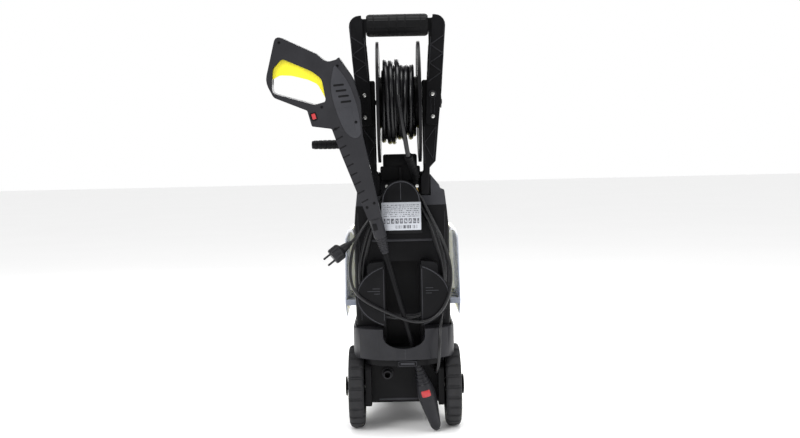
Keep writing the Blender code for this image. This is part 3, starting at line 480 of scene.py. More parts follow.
class Builder:
    """Collects surfaces and makes them one mesh object at the origin."""

    def __init__(self) -> None:
        """Starts with no points and no faces."""
        self.points: list[np.ndarray] = []
        self.faces: list[list[int]] = []
        self.count = 0

    def grids(
        self, points: np.ndarray, wrap_columns: bool = False, caps: bool = False
    ) -> "Builder":
        """Adds equal grids of quads.

        Args:
            points: one grid (rows, columns, 3), or several (n, rows, columns, 3).
            wrap_columns: whether each grid's last column joins its first.
            caps: whether the first and last rows are closed with one face each.
        Returns:
            The builder.
        """
        points = points[None] if points.ndim == 3 else points
        number, rows, columns, _ = points.shape
        start = self.count + np.arange(number)[:, None] * rows * columns
        one = quads(rows, columns, wrap_columns)
        self.faces += (one[None] + start[:, :, None]).reshape(-1, 4).tolist()
        if caps:
            first = np.arange(columns)[::-1]
            last = np.arange(columns) + (rows - 1) * columns
            self.faces += (first[None] + start).tolist() + (last[None] + start).tolist()
        self.points.append(points.reshape(-1, 3))
        self.count += number * rows * columns
        return self

    def make(self, name: str, sharp: float = 38.0) -> bpy.types.Object:
        """Makes the object: doubles merged, faces turned outwards, smooth up to an angle.

        Args:
            name: the piece's name.
            sharp: angle in degrees past which an edge stays sharp.
        Returns:
            The object, linked and at the origin.
        """
        mesh = bpy.data.meshes.new(name)
        mesh.from_pydata(np.concatenate(self.points).tolist(), [], self.faces)
        work = bmesh.new()
        work.from_mesh(mesh)
        bmesh.ops.remove_doubles(work, verts=work.verts, dist=0.000004)
        bmesh.ops.dissolve_degenerate(work, edges=work.edges, dist=0.000002)
        bmesh.ops.recalc_face_normals(work, faces=work.faces)
        work.to_mesh(mesh)
        work.free()
        mesh.shade_smooth()
        mesh.set_sharp_from_angle(angle=math.radians(sharp))
        made = bpy.data.objects.new(name, mesh)
        bpy.context.scene.collection.objects.link(made)
        return made


def aimed(origin: Point, axis: Point) -> np.ndarray:
    """The 4x4 that puts +Z along an axis and nought at a point."""
    turn = Vector((0, 0, 1)).rotation_difference(Vector(axis)).to_matrix().to_4x4()
    return np.array(Matrix.Translation(origin) @ turn)


def placed(points: np.ndarray, matrix: np.ndarray) -> np.ndarray:
    """Points after a 4x4."""
    return points @ matrix[:3, :3].T + matrix[:3, 3]


def turned(
    profile: Sequence[tuple[float, float]] | np.ndarray,
    matrix: np.ndarray,
    steps: int = 64,
    swell: np.ndarray | None = None,
) -> np.ndarray:
    """A turned surface: radius r(s) and height h(s) swept round +Z, with r times swell.

    Args:
        profile: (radius, height) down the outside.
        matrix: where the axis goes.
        steps: columns round the axis.
        swell: factor on the radius, (profile points, steps) or (steps,).
    Returns:
        Grid of points (profile points, steps, 3), to be wrapped by columns.
    """
    r, h = np.asarray(profile, float).T
    angle = np.arange(steps) * math.tau / steps
    radius = r[:, None] * (np.ones((len(r), steps)) if swell is None else swell)
    grid = np.stack(
        [radius * np.cos(angle), radius * np.sin(angle), np.broadcast_to(h[:, None], radius.shape)],
        axis=-1,
    )
    return placed(grid, matrix)


def softened(profile: Sequence[tuple[float, float]], radius: float, steps: int = 3) -> np.ndarray:
    """An open profile whose inner corners are cut by quadratic arcs.

    Each corner P becomes (1-t)^2 A + 2t(1-t) P + t^2 B, where A and B lie a radius, or at most
    0.45 of the leg, before and after it.

    Args:
        profile: corner points in the plane.
        radius: reach of each arc along its legs.
        steps: segments per arc.
    Returns:
        The smoothed points.
    """
    p = np.asarray(profile, float)
    before, here, after = p[:-2], p[1:-1], p[2:]
    leg_a, leg_b = before - here, after - here
    reach_a = np.minimum(radius, 0.45 * np.linalg.norm(leg_a, axis=1, keepdims=True))
    reach_b = np.minimum(radius, 0.45 * np.linalg.norm(leg_b, axis=1, keepdims=True))
    a, b = here + unit(leg_a) * reach_a, here + unit(leg_b) * reach_b
    t = np.linspace(0, 1, steps + 1)[None, :, None]
    arcs = (1 - t) ** 2 * a[:, None] + 2 * t * (1 - t) * here[:, None] + t**2 * b[:, None]
    return np.concatenate([p[:1], arcs.reshape(-1, 2), p[-1:]])


def closed_outline(corners: Sequence[tuple[float, float, float]], steps: int = 5) -> np.ndarray:
    """A closed outline from corners (x, z, radius), each rounded by a quadratic arc.

    Args:
        corners: corner places with the reach of each arc.
        steps: segments per arc.
    Returns:
        Points round the outline.
    """
    data = np.asarray(corners, float)
    here, reach = data[:, :2], data[:, 2:]
    leg_a, leg_b = np.roll(here, 1, 0) - here, np.roll(here, -1, 0) - here
    a = here + unit(leg_a) * np.minimum(reach, 0.48 * np.linalg.norm(leg_a, axis=1, keepdims=True))
    b = here + unit(leg_b) * np.minimum(reach, 0.48 * np.linalg.norm(leg_b, axis=1, keepdims=True))
    t = np.linspace(0, 1, steps + 1)[None, :, None]
    arcs = (1 - t) ** 2 * a[:, None] + 2 * t * (1 - t) * here[:, None] + t**2 * b[:, None]
    return arcs.reshape(-1, 2)


def box_outline(
    across: tuple[float, float], up: tuple[float, float], soft: float, steps: int = 5
) -> np.ndarray:
    """Closed outline of a rectangle with rounded corners, from its two ranges."""
    (x0, x1), (z0, z1) = across, up
    return closed_outline([(x0, z0, soft), (x1, z0, soft), (x1, z1, soft), (x0, z1, soft)], steps)


def inward(outline: np.ndarray) -> np.ndarray:
    """Unit normals of a closed outline, pointing into it."""
    along = unit(np.roll(outline, -1, 0) - np.roll(outline, 1, 0))
    normal = np.stack([-along[:, 1], along[:, 0]], axis=1)
    x, z = outline.T
    area = float(np.sum(x * np.roll(z, -1) - np.roll(x, -1) * z))
    return normal if area > 0 else -normal


def plate(
    outline: np.ndarray, low: float, high: float, soft: float, plane: np.ndarray
) -> np.ndarray:
    """A plate with rounded edges: the outline carried up while it is drawn in at the rim.

    Round the rim the height rises with the sine of an angle and the inset with 1 - its cosine.

    Args:
        outline: closed outline (n, 2).
        low: height of the back.
        high: height of the face.
        soft: radius of the rim.
        plane: 4x4 whose X and Y carry the outline and whose Z is the plate's height.
    Returns:
        Grid (rows, n, 3), to be wrapped by columns and capped.
    """
    t = np.linspace(0, math.pi / 2, 4)
    inset = np.concatenate([[0.0], soft * (1 - np.cos(t))])
    height = np.concatenate([[low], high - soft + soft * np.sin(t)])
    flat = outline[None] + inward(outline)[None] * inset[:, None, None]
    level = np.broadcast_to(height[:, None, None], (*flat.shape[:2], 1))
    return placed(np.concatenate([flat, level], axis=2), plane)


def rear_plane(y: float) -> np.ndarray:
    """The 4x4 for plates on a rear face: outline in X and Z, height towards -Y from y."""
    return np.array([[1, 0, 0, 0], [0, 0, -1, y], [0, 1, 0, 0], [0, 0, 0, 1]], float)


def ridges(
    starts: np.ndarray, ends: np.ndarray, up: Point | np.ndarray, width: float, rise: float
) -> np.ndarray:
    """Raised bars with chamfered tops and sloping ends.

    Each bar's section is a low trapezium of six points, carried along four stations, of which the
    first and last are lower and narrower.

    Args:
        starts: first ends (n, 3) on the surface.
        ends: last ends (n, 3).
        up: normal of the surface, one or one per bar.
        width: width at the foot.
        rise: height over the surface.
    Returns:
        Grids (n, 4, 6, 3), to be wrapped by columns and capped.
    """
    starts, ends = np.atleast_2d(np.asarray(starts, float)), np.atleast_2d(np.asarray(ends, float))
    up = unit(np.broadcast_to(np.asarray(up, float), starts.shape))
    along = ends - starts
    length = np.linalg.norm(along, axis=1)
    side = unit(np.cross(along, up))
    across = np.array([-0.5, -0.44, -0.30, 0.30, 0.44, 0.5]) * width
    height = np.array([0.0, 0.72, 1.0, 1.0, 0.72, 0.0]) * rise
    lead = np.clip(0.35 * width / length, 0.0, 0.3)
    station = np.stack([0 * lead, lead, 1 - lead, 1 + 0 * lead], axis=1)
    narrow = np.array([0.72, 1.0, 1.0, 0.72])
    low = np.array([0.45, 1.0, 1.0, 0.45])
    spot = starts[:, None] + along[:, None] * station[..., None]
    shift = side[:, None, None] * (across[None, None] * narrow[None, :, None])[..., None]
    lift = up[:, None, None] * (height[None, None] * low[None, :, None] - SINK)[..., None]
    return spot[:, :, None] + shift + lift


def through(points: Sequence[Point] | np.ndarray, spacing: float) -> np.ndarray:
    """Points at equal steps along a Catmull-Rom curve through the route's own points.

    Each stretch is half of 2b + (c-a)t + (2a-5b+4c-d)t^2 + (3b-a-3c+d)t^3.

    Args:
        points: the route (n, 3).
        spacing: wanted step in metres.
    Returns:
        The resampled route.
    """
    p = np.asarray(points, float)
    p = np.concatenate([2 * p[:1] - p[1:2], p, 2 * p[-1:] - p[-2:-1]])
    a, b, c, d = (p[i : len(p) - 3 + i, None] for i in range(4))
    t = np.linspace(0, 1, 25)[None, :-1, None]
    fine = 0.5 * (
        2 * b
        + (c - a) * t
        + (2 * a - 5 * b + 4 * c - d) * t**2
        + (3 * b - a - 3 * c + d) * t**3
    )
    fine = np.concatenate([fine.reshape(-1, 3), p[-2:-1]])
    along = np.concatenate([[0.0], np.cumsum(np.linalg.norm(np.diff(fine, axis=0), axis=1))])
    wanted = np.linspace(0, along[-1], max(3, round(along[-1] / spacing) + 1))
    return np.stack([np.interp(wanted, along, fine[:, axis]) for axis in range(3)], axis=1)


def eased_route(route: np.ndarray, reach: int, passes: int = 2) -> np.ndarray:
    """A route averaged over a bell of neighbours, with both ends held, so that no bend is a kink.

    Args:
        route: points at equal steps (n, 3).
        reach: neighbours on each side.
        passes: how often it is averaged.
    Returns:
        The smoothed route.
    """
    bell = np.hanning(2 * reach + 3)[1:-1]
    bell = bell / bell.sum()
    for _ in range(passes):
        head = 2 * route[:1] - route[reach:0:-1]
        tail = 2 * route[-1:] - route[-2 : -reach - 2 : -1]
        wide = np.concatenate([head, route, tail])
        route = np.stack([np.convolve(wide[:, axis], bell, "valid") for axis in range(3)], axis=1)
    return route


def run_length(route: np.ndarray) -> float:
    """Length of a route in metres."""
    return float(np.linalg.norm(np.diff(route, axis=0), axis=1).sum())


def swept(route: np.ndarray, radius: np.ndarray, steps: int, reference: Point) -> np.ndarray:
    """A round tube: each ring is the radius times cos and sin across the route's tangent.

    Args:
        route: centreline (n, 3).
        radius: radius at each point.
        steps: columns round the tube.
        reference: direction that is never along the route, which sets where a ring starts.
    Returns:
        Grid (n, steps, 3), to be wrapped by columns.
    """
    along = unit(np.gradient(route, axis=0))
    guide = np.asarray(reference, float)
    first = unit(guide - (along @ guide)[:, None] * along)
    second = np.cross(along, first)
    angle = np.arange(steps) * math.tau / steps
    ring = first[:, None] * np.cos(angle)[:, None] + second[:, None] * np.sin(angle)[:, None]
    return route[:, None] + ring * radius[:, None, None]


def screw_heads(places: np.ndarray, axis: Point, radius: float, height: float) -> np.ndarray:
    """Domed heads of height 1 - 0.35 q^2, less a cross recess where |x| or |y| is small.

    Args:
        places: centres (n, 3) on the surface.
        axis: direction that the heads face.
        radius: head radius.
        height: height of the dome's middle.
    Returns:
        Grids (n, rows, columns, 3), to be wrapped by columns and capped.
    """
    q = np.array([0.0, 0.14, 0.28, 0.42, 0.52, 0.60, 0.74, 0.88, 0.97, 1.0, 1.0])[:, None]
    angle = (np.arange(40) * math.tau / 40)[None]
    x, y = q * np.cos(angle), q * np.sin(angle)
    arm = np.minimum(np.abs(x), np.abs(y))
    cross = smooth_step(0.17 - arm, 0.0, 0.05) * smooth_step(0.60 - q, 0.0, 0.06)
    top = height * (1 - 0.35 * q**2) - 0.75 * height * cross
    top = np.where(np.arange(len(q))[:, None] == len(q) - 1, -SINK, top)
    one = np.stack([x * radius, y * radius, np.broadcast_to(top, x.shape)], axis=-1)
    turn = aimed((0, 0, 0), axis)[:3, :3]
    return (one @ turn.T)[None] + np.asarray(places, float)[:, None, None]


# Placing and dressing


def dress(piece: bpy.types.Object, finish: Finish) -> bpy.types.Object:
    """Puts one finish on every face of a piece."""
    piece.data.materials.clear()
    piece.data.materials.append(finish.material())
    return piece


def settle(
    piece: bpy.types.Object, body: str, finish: Finish, stands_for: Sequence[str] = ()
) -> bpy.types.Object:
    """Dresses a new piece, joins it to its body and hides the CAD nodes that it stands for.

    Args:
        piece: the finished object.
        body: the body that carries it.
        finish: its finish.
        stands_for: CAD nodes that it replaces.
    Returns:
        The piece.
    """
    dress(piece, finish)
    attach(piece, body)
    if stands_for:
        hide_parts(*stands_for)
    LOG.info("%s on %s, %s", piece.name, body, finish.name)
    return piece


def solid(
    name: str,
    body: str,
    finish: Finish,
    *blocks: np.ndarray,
    lathed: Sequence[np.ndarray] = (),
    sharp: float = 30.0,
    stands_for: Sequence[str] = (),
) -> bpy.types.Object:
    """Makes one piece from its grids and settles it.

    Args:
        name: the piece's name.
        body: the body that carries it.
        finish: its finish.
        blocks: grids whose first and last rows are closed with one face each.
        lathed: grids that need no such faces, as turned ones.
        sharp: angle in degrees past which an edge stays sharp.
        stands_for: CAD nodes that it replaces.
    Returns:
        The piece.
    """
    builder = Builder()
    for grid in lathed:
        builder.grids(grid, wrap_columns=True)
    for grid in blocks:
        builder.grids(grid, wrap_columns=True, caps=True)
    return settle(builder.make(name, sharp), body, finish, stands_for)


def cad_dressed(node: str, finish: Finish) -> None:
    """Keeps a CAD node's shape and gives it a finish."""
    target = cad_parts[node]
    if not target.material_slots:
        target.data.materials.append(None)
    for place in target.material_slots:
        place.material = finish.material()
    LOG.info("%s kept, %s", node, finish.name)


def eased(
    node: str, body: str, finish: Finish, width: float, angle: float = 40.0, segments: int = 2
) -> bpy.types.Object:
    """A copy of a CAD node with merged faces and rounded edges, which stands for it.

    Args:
        node: the CAD node.
        body: its body.
        finish: its finish.
        width: width of the rounding in metres.
        angle: edges bent more than this many degrees are rounded.
        segments: segments of the rounding.
    Returns:
        The piece.
    """
    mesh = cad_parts[node].data.copy()
    work = bmesh.new()
    work.from_mesh(mesh)
    bmesh.ops.remove_doubles(work, verts=work.verts, dist=0.00001)
    bmesh.ops.dissolve_limit(
        work, angle_limit=math.radians(0.8), verts=work.verts, edges=work.edges
    )
    work.to_mesh(mesh)
    work.free()
    mesh.name = f"{node}_moulding"
    mesh.shade_smooth()
    mesh.set_sharp_from_angle(angle=math.radians(35))
    piece = bpy.data.objects.new(f"{node}_moulding", mesh)
    bpy.context.scene.collection.objects.link(piece)
    rounding = piece.modifiers.new("rounding", "BEVEL")
    rounding.width = width
    rounding.segments = segments
    rounding.limit_method = "ANGLE"
    rounding.angle_limit = math.radians(angle)
    rounding.harden_normals = True
    return settle(piece, body, finish, [node])


def cord_curve(name: str, route: np.ndarray, radius: float, sides: int) -> bpy.types.Object:
    """A cord as one open spline with a round section."""
    line = bpy.data.curves.new(name, "CURVE")
    line.dimensions = "3D"
    line.bevel_depth = radius
    line.bevel_resolution = sides
    line.use_fill_caps = True
    spline = line.splines.new("POLY")
    spline.points.add(len(route) - 1)
    spline.points.foreach_set("co", np.column_stack([route, np.ones(len(route))]).ravel())
    spline.use_smooth = True
    made = bpy.data.objects.new(name, line)
    bpy.context.scene.collection.objects.link(made)
    return made


# Sub-assemblies


@dataclass
class Studio:
    """Camera behind the machine, pale floor and soft lights."""

    eye: Point = (-0.0100, -2.7050, 0.6296)
    target: Point = (-0.0029, -0.3050, 0.4968)
    lens: float = 45.8
    roll: float = -0.02224
    floor_reach: float = 30.0
    aim: Point = (0, -0.2, 0.5)
    ambient: float = 1.0
    mirrored: float = 0.26

    def camera(self) -> None:
        """Makes the scene's camera: its -Z along eye to target, then rolled."""
        data = bpy.data.cameras.new("camera")
        data.lens = self.lens
        made = bpy.data.objects.new("camera", data)
        aim = (Vector(self.target) - Vector(self.eye)).to_track_quat("-Z", "Y").to_matrix()
        turn = aim.to_4x4() @ Matrix.Rotation(self.roll, 4, "Z")
        made.matrix_world = Matrix.Translation(self.eye) @ turn
        bpy.context.scene.collection.objects.link(made)
        bpy.context.scene.camera = made

    def floor(self) -> None:
        """Makes the plain pale floor."""
        reach = self.floor_reach
        side = np.array([-reach, reach])
        x, y = np.meshgrid(side, side)
        grid = np.stack([x, y, np.zeros_like(x)], axis=-1)
        made = Builder().grids(grid).make("floor")
        paint = Paint("floor_paint")
        cloud = paint.noise(0.8, 3.0)
        made.data.materials.append(
            paint.surface(
                Base_Color=paint.blend((0.93, 0.93, 0.93), (0.96, 0.96, 0.96), cloud),
                Roughness=0.9,
            )
        )

    def light(self, name: str, place: Point, size: float, power: float) -> None:
        """Makes one square soft light aimed at the machine."""
        data = bpy.data.lights.new(name, "AREA")
        data.size = size
        data.energy = power
        made = bpy.data.objects.new(name, data)
        aim = (Vector(self.aim) - Vector(place)).to_track_quat("-Z", "Y")
        made.matrix_world = Matrix.Translation(place) @ aim.to_matrix().to_4x4()
        bpy.context.scene.collection.objects.link(made)

    def lights(self) -> None:
        """Makes the studio's four soft lights."""
        self.light("light_key", (-1.7, -2.3, 2.3), 1.4, 48)
        self.light("light_fill", (2.2, -1.7, 1.5), 1.3, 26)
        self.light("light_top", (0.0, -0.2, 2.8), 1.6, 40)
        self.light("light_front", (0.6, 2.6, 1.6), 2.0, 45)

    def surroundings(self) -> None:
        """Makes the even white surroundings, which are dimmer where a glossy ray meets them."""
        world = bpy.data.worlds.new("surroundings")
        world.use_nodes = True
        tree = world.node_tree
        mirrored = tree.nodes["Background"]
        ambient = tree.nodes.new("ShaderNodeBackground")
        for shade, strength in ((mirrored, self.mirrored), (ambient, self.ambient)):
            shade.inputs[0].default_value = (1, 1, 1, 1)
            shade.inputs[1].default_value = strength
        ray = tree.nodes.new("ShaderNodeLightPath")
        mixed = tree.nodes.new("ShaderNodeMixShader")
        tree.links.new(ray.outputs["Is Glossy Ray"], mixed.inputs[0])
        tree.links.new(ambient.outputs[0], mixed.inputs[1])
        tree.links.new(mirrored.outputs[0], mixed.inputs[2])
        tree.links.new(mixed.outputs[0], tree.nodes["World Output"].inputs[0])
        bpy.context.scene.world = world
        bpy.context.scene.view_settings.view_transform = "Standard"


@dataclass
class MainsCable:
    """The 7 mm mains cable: gland, lead, nearly 4.5 turns round the hooks, a loop and plug."""

    radius: float = 0.0035
    centre: tuple[float, float] = (0.0, 0.420)
    start: float = math.radians(-50.0)
    turns: float = 4.463
    first_layer: float = -0.3500
    layer: float = 0.0044
    exit: Point = (0.0700, -0.3136, 0.1480)
    neck: Point = (-0.1165, -0.3660, 0.4490)
    plug_axis: Point = (-0.78, -0.20, -0.59)
    pin_shift: float = 0.0095

    def outline(
        self, corners: Sequence[tuple[float, float, float]]
    ) -> tuple[np.ndarray, np.ndarray]:
        """Half an outline mirrored and softened, as polar angle and radius about the centre."""
        half = np.asarray(corners, float)
        mirror = half[::-1] * (-1, 1, 1)
        loop = closed_outline(np.concatenate([half, mirror]).tolist(), 12) - self.centre
        angle = np.unwrap(np.arctan2(loop[:, 1], loop[:, 0]))
        order = np.argsort(np.mod(angle, math.tau))
        angle = np.mod(angle, math.tau)[order]
        radius = np.linalg.norm(loop, axis=1)[order]
        even = np.linspace(0, math.tau, 361)[:-1]
        radius = np.interp(even, angle, radius, period=math.tau)
        kernel = np.hanning(23) / np.hanning(23).sum()
        tiled = np.convolve(np.tile(radius, 3), kernel, mode="same")[360:720]
        return even, tiled

    def strand(self, angle: np.ndarray, share: np.ndarray, y: np.ndarray) -> np.ndarray:
        """Points of the winding: the radius is shared out between the inner and the outer outline.

        Args:
            angle: polar angle about the centre, in radians.
            share: nought beside the inner outline, one beside the outer.
            y: depth of each point.
        Returns:
            Points (n, 3).
        """
        inner = self.outline([
            (0.046, 0.284, 0.02), (0.084, 0.312, 0.03), (0.086, 0.412, 0.04), (0.0345, 0.532, 0.02),
            (0.030, 0.5665, 0.020),
        ])
        outer = self.outline([
            (0.060, 0.262, 0.04), (0.104, 0.310, 0.05), (0.107, 0.415, 0.06), (0.0475, 0.552, 0.04),
            (0.036, 0.583, 0.025),
        ])
        low = np.interp(angle, *inner, period=math.tau) + self.radius
        high = np.interp(angle, *outer, period=math.tau) - self.radius
        r = low + (high - low) * share
        x = self.centre[0] + r * np.cos(angle)
        z = self.centre[1] + r * np.sin(angle)
        return np.stack([x, y, z], axis=1)

    def winding(self) -> np.ndarray:
        """The turns round the hooks, each a layer further back, side by side by turns."""
        angle = self.start + np.linspace(0, self.turns * math.tau, round(self.turns * 28) + 1)[:-1]
        full = angle / math.tau
        known = [(self.start / math.tau, 1.0), (0.0, 0.0)]
        neck, side = (0.0, 0.8, 0.1, 0.9, 0.2), (0.0, 0.62, 0.2, 0.82, 0.4, 1.0)
        known += [(turn + 0.25, share) for turn, share in enumerate(neck)]
        known += [(turn + 0.50, side[turn]) for turn in range(5)]
        known += [(turn, side[turn]) for turn in range(1, 5)]
        known.sort()
        share = np.interp(full, *np.asarray(known).T)
        y = self.first_layer - self.layer * full
        y = np.where(full < 0, self.first_layer + 0.0625 * full, y)
        y -= 0.004 * smooth_step(full, 4.22, 4.33)
        return self.strand(angle, share, y)

    def route(self) -> np.ndarray:
        """The whole cable from its gland to its plug."""
        lead = [
            self.exit, (0.0700, -0.3300, 0.1460), (0.0712, -0.3620, 0.1420),
            (0.0745, -0.3975, 0.1470), (0.0780, -0.4110, 0.1740), (0.0800, -0.4120, 0.2080),
            (0.0815, -0.4055, 0.2400), (0.0855, -0.3850, 0.2670), (0.0905, -0.3680, 0.2880),
        ]
        loop = [
            (-0.0670, -0.3785, 0.5080), (-0.0850, -0.3800, 0.4880), (-0.1030, -0.3830, 0.4600),
            (-0.1170, -0.3870, 0.4200), (-0.1200, -0.3900, 0.3650), (-0.1100, -0.3915, 0.3320),
            (-0.0680, -0.3915, 0.3030), (-0.0300, -0.3950, 0.2850), (0.0000, -0.3985, 0.2720),
            (0.0330, -0.3950, 0.2620), (0.0680, -0.3915, 0.2690), (0.0930, -0.3910, 0.2950),
            (0.1080, -0.3885, 0.3300), (0.1120, -0.3840, 0.3750), (0.1050, -0.3795, 0.4200),
            (0.0850, -0.3785, 0.4700), (0.0640, -0.3780, 0.5120),
        ]
        over = np.radians(np.linspace(68, 128, 7))
        depth = -0.3705 + 0.0020 * np.sin(np.linspace(0, math.pi, 7))
        last = self.strand(over, np.ones(7), depth)
        out = unit(np.array(self.plug_axis))
        tail = [(-0.0880, -0.3735, 0.4830)]
        tail += [tuple(np.array(self.neck) - out * back) for back in (0.016, 0.006, 0.0008)]
        points = np.concatenate([lead, self.winding(), loop, last, tail])
        return eased_route(through(points, 0.005), 7)

    def gland(self) -> bpy.types.Object:
        """Strain relief: a collar and five ribs that taper to the cable over 30 mm."""
        t = np.linspace(0, 1, 61)
        rib = smooth_step(np.cos(t * 5 * math.tau), -0.2, 0.5) * smooth_step(1 - t, 0.0, 0.15)
        radius = 0.0062 - 0.0022 * t + 0.0012 * rib
        collar = [(0.0, 0.0), (0.0085, 0.0), (0.0088, 0.0006), (0.0088, 0.0022), (0.0080, 0.0032)]
        body = np.column_stack([radius, 0.0036 + 0.0260 * t]).tolist()
        profile = [*collar, *body, (0.0036, 0.0300), (0.0, 0.0300)]
        place = aimed((self.exit[0], -0.3035, self.exit[2]), REARWARD)
        return solid("cable_strain_relief", "machine", Finish.RUBBER, sharp=38,
                     lathed=[turned(profile, place, 32)], stands_for=["cable_gland"])

    def plug(self) -> bpy.types.Object:
        """Round moulded plug with finger ribs along its body, a skirt and two pins."""
        place = aimed(self.neck, tuple(unit(np.array(self.plug_axis))))
        corners = [
            (0.0, 0.0), (0.0052, 0.0), (0.0060, 0.006), (0.0080, 0.0125), (0.0105, 0.026),
            (0.0160, 0.0290), (0.0190, 0.0330), (0.0190, 0.0520), (0.0175, 0.0560), (0.0, 0.0560),
        ]
        profile = softened(corners, 0.0014, 4)
        angle = np.arange(72) * math.tau / 72
        grooves = smooth_step(np.cos(angle * 18), 0.2, 0.8)
        up = profile[:, 1]
        band = smooth_step(up, 0.0285, 0.0315) * smooth_step(-up, -0.0535, -0.0505)
        swell = 1 - 0.060 * grooves[None] * band[:, None]
        pin = [(0.0, 0.0550), (0.0024, 0.0550), (0.0024, 0.0735), (0.0017, 0.0750), (0.0, 0.0750)]
        pins = [
            turned(pin, place @ np.array(Matrix.Translation((shift, 0, 0))), 16)
            for shift in (-self.pin_shift, self.pin_shift)
        ]
        return solid("mains_plug_moulding", "machine", Finish.PLUG, sharp=32,
                     lathed=[turned(profile, place, 72, swell), *pins], stands_for=["mains_plug"])

    def build(self) -> None:
        ends = [self.plug(), self.gland()]
        route = self.route()
        made = cord_curve("mains_cable", route, self.radius, CORD_SIDES)
        solids = ["cable_lead", "cable_hank", "cable_loop", "cable_tail"]
        settle(made, "machine", Finish.CABLE, solids)
        LOG.info("mains cable %.3f m", run_length(route))


@dataclass
class HoseRun:
    """The 11 mm pressure hose: outlet, ribbed sleeve, last stretch and the layers on the drum."""

    radius: float = 0.0055
    axis_y: float = -0.3180
    axis_z: float = 0.7705
    reach: float = 0.0362
    pitch: float = 0.0124
    turns: float = 14.6
    outer_radius: float = 0.0938
    layer_step: float = 0.0108
    sleeve_pitch: float = 0.0066
    outlet_spot: Point = (0.0370, -0.3220, 0.5533)
    exit: Point = (0.0185, -0.3975, 0.6452)
    join: Point = (-0.0020, -0.4240, 0.7800)

    def lead(self) -> np.ndarray:
        """The stretch from the sleeve up to the winding."""
        points = [
            self.exit, (0.0166, -0.4050, 0.6530), (0.0115, -0.4180, 0.6880),
            (0.0060, -0.4242, 0.7250), (0.0015, -0.4246, 0.7560), self.join,
        ]
        return eased_route(through(points, 0.007), 3)

    def winding(self) -> np.ndarray:
        """Turns on the drum from the outside in.

        The angle grows evenly, x runs between the flanges as a triangle wave of the turn count,
        the radius falls by one layer at each end of its run, and slow sines leave it uneven.
        """
        turns = np.linspace(0, self.turns, round(self.turns * 26) + 1)
        travel = turns * self.pitch
        first = self.reach - 0.002
        run = 2 * self.reach
        phase = (travel - first + run) / run
        edge = np.abs(phase - np.round(phase)) * run
        x = self.reach - run * np.abs((phase + 1) % 2 - 1)
        step = smooth_step(travel - first, -0.006, 0.006)
        step = step + smooth_step(travel - first - run, -0.006, 0.006)
        loose = smooth_step(edge, 0.0, 0.012)
        radius = self.outer_radius - self.layer_step * step
        radius += loose * (0.0012 * np.sin(turns * 2.9 + 1.0) + 0.0010 * np.sin(turns * 6.7))
        radius -= 0.0110 * smooth_step(turns, 14.1, self.turns)
        x += loose * 0.0018 * np.sin(turns * 4.3 + 0.6)
        angle = 0.06 + turns * math.tau
        y = self.axis_y - radius * np.cos(angle)
        z = self.axis_z + radius * np.sin(angle)
        return np.stack([x, y, z], axis=1)

    def sleeve(self) -> None:
        """Ribbed bend protector and the ring collar where the hose leaves it."""
        points = [
            (0.0370, -0.3220, 0.5712), (0.0368, -0.3225, 0.5790), (0.0350, -0.3340, 0.6000),
            (0.0275, -0.3650, 0.6220), (0.0190, -0.3960, 0.6440),
        ]
        route = through(points, 0.0007)
        steps = np.linalg.norm(np.diff(route, axis=0), axis=1)
        along = np.concatenate([[0], np.cumsum(steps)])
        last = along[-1]
        rib = smooth_step(np.cos(along / self.sleeve_pitch * math.tau), -0.35, 0.35)
        collar = smooth_step(along, last - 0.0105, last - 0.0095)
        groove = smooth_step(np.abs(along - last + 0.0045), 0.0004, 0.0012)
        radius = (0.0079 + 0.0013 * rib) * (1 - collar) + 0.0095 * collar
        radius = radius - 0.0012 * collar * (1 - groove)
        grid = swept(route, radius, 32, ACROSS)
        ends = np.stack([np.repeat(route[:1], 32, 0), np.repeat(route[-1:], 32, 0)])
        grid = np.concatenate([ends[:1], grid, ends[1:]])
        solid("hose_bend_sleeve", "machine", Finish.RUBBER, lathed=[grid], sharp=50,
              stands_for=["hose_sleeve"])

    def outlet(self) -> None:
        """Hexagon nut and nipple that the hose screws onto."""
        angle = np.arange(48) * math.tau / 48
        flat = math.cos(math.pi / 6) / np.cos(np.mod(angle, math.pi / 3) - math.pi / 6)
        profile = [
            (0.0, 0.0), (0.0080, 0.0), (0.0085, 0.0006), (0.0085, 0.0114), (0.0080, 0.0120),
            (0.0062, 0.0120), (0.0062, 0.0163), (0.0, 0.0163),
        ]
        hexed = np.array([1, 1, 1, 1, 1, 0, 0, 1])[:, None]
        swell = np.where(hexed > 0, np.minimum(flat, 1.0)[None], 1.0)
        nut = turned(profile, aimed(self.outlet_spot, (0, 0, 1)), 48, swell)
        solid("hose_outlet_nut", "machine", Finish.BRASS, lathed=[nut], sharp=28,
              stands_for=["hose_outlet"])

    def build(self) -> None:
        """Makes the run and its two cords."""
        self.sleeve()
        self.outlet()
        lead = self.lead()
        made = cord_curve("hose_last_stretch", lead, self.radius, CORD_SIDES)
        settle(made, "machine", Finish.HOSE, ["hose_lead"])
        winding = self.winding()
        made = cord_curve("hose_on_reel", winding, self.radius, CORD_SIDES)
        settle(made, "reel", Finish.HOSE, ["hose_winding"])
        LOG.info("hose on the reel %.3f m", run_length(winding))


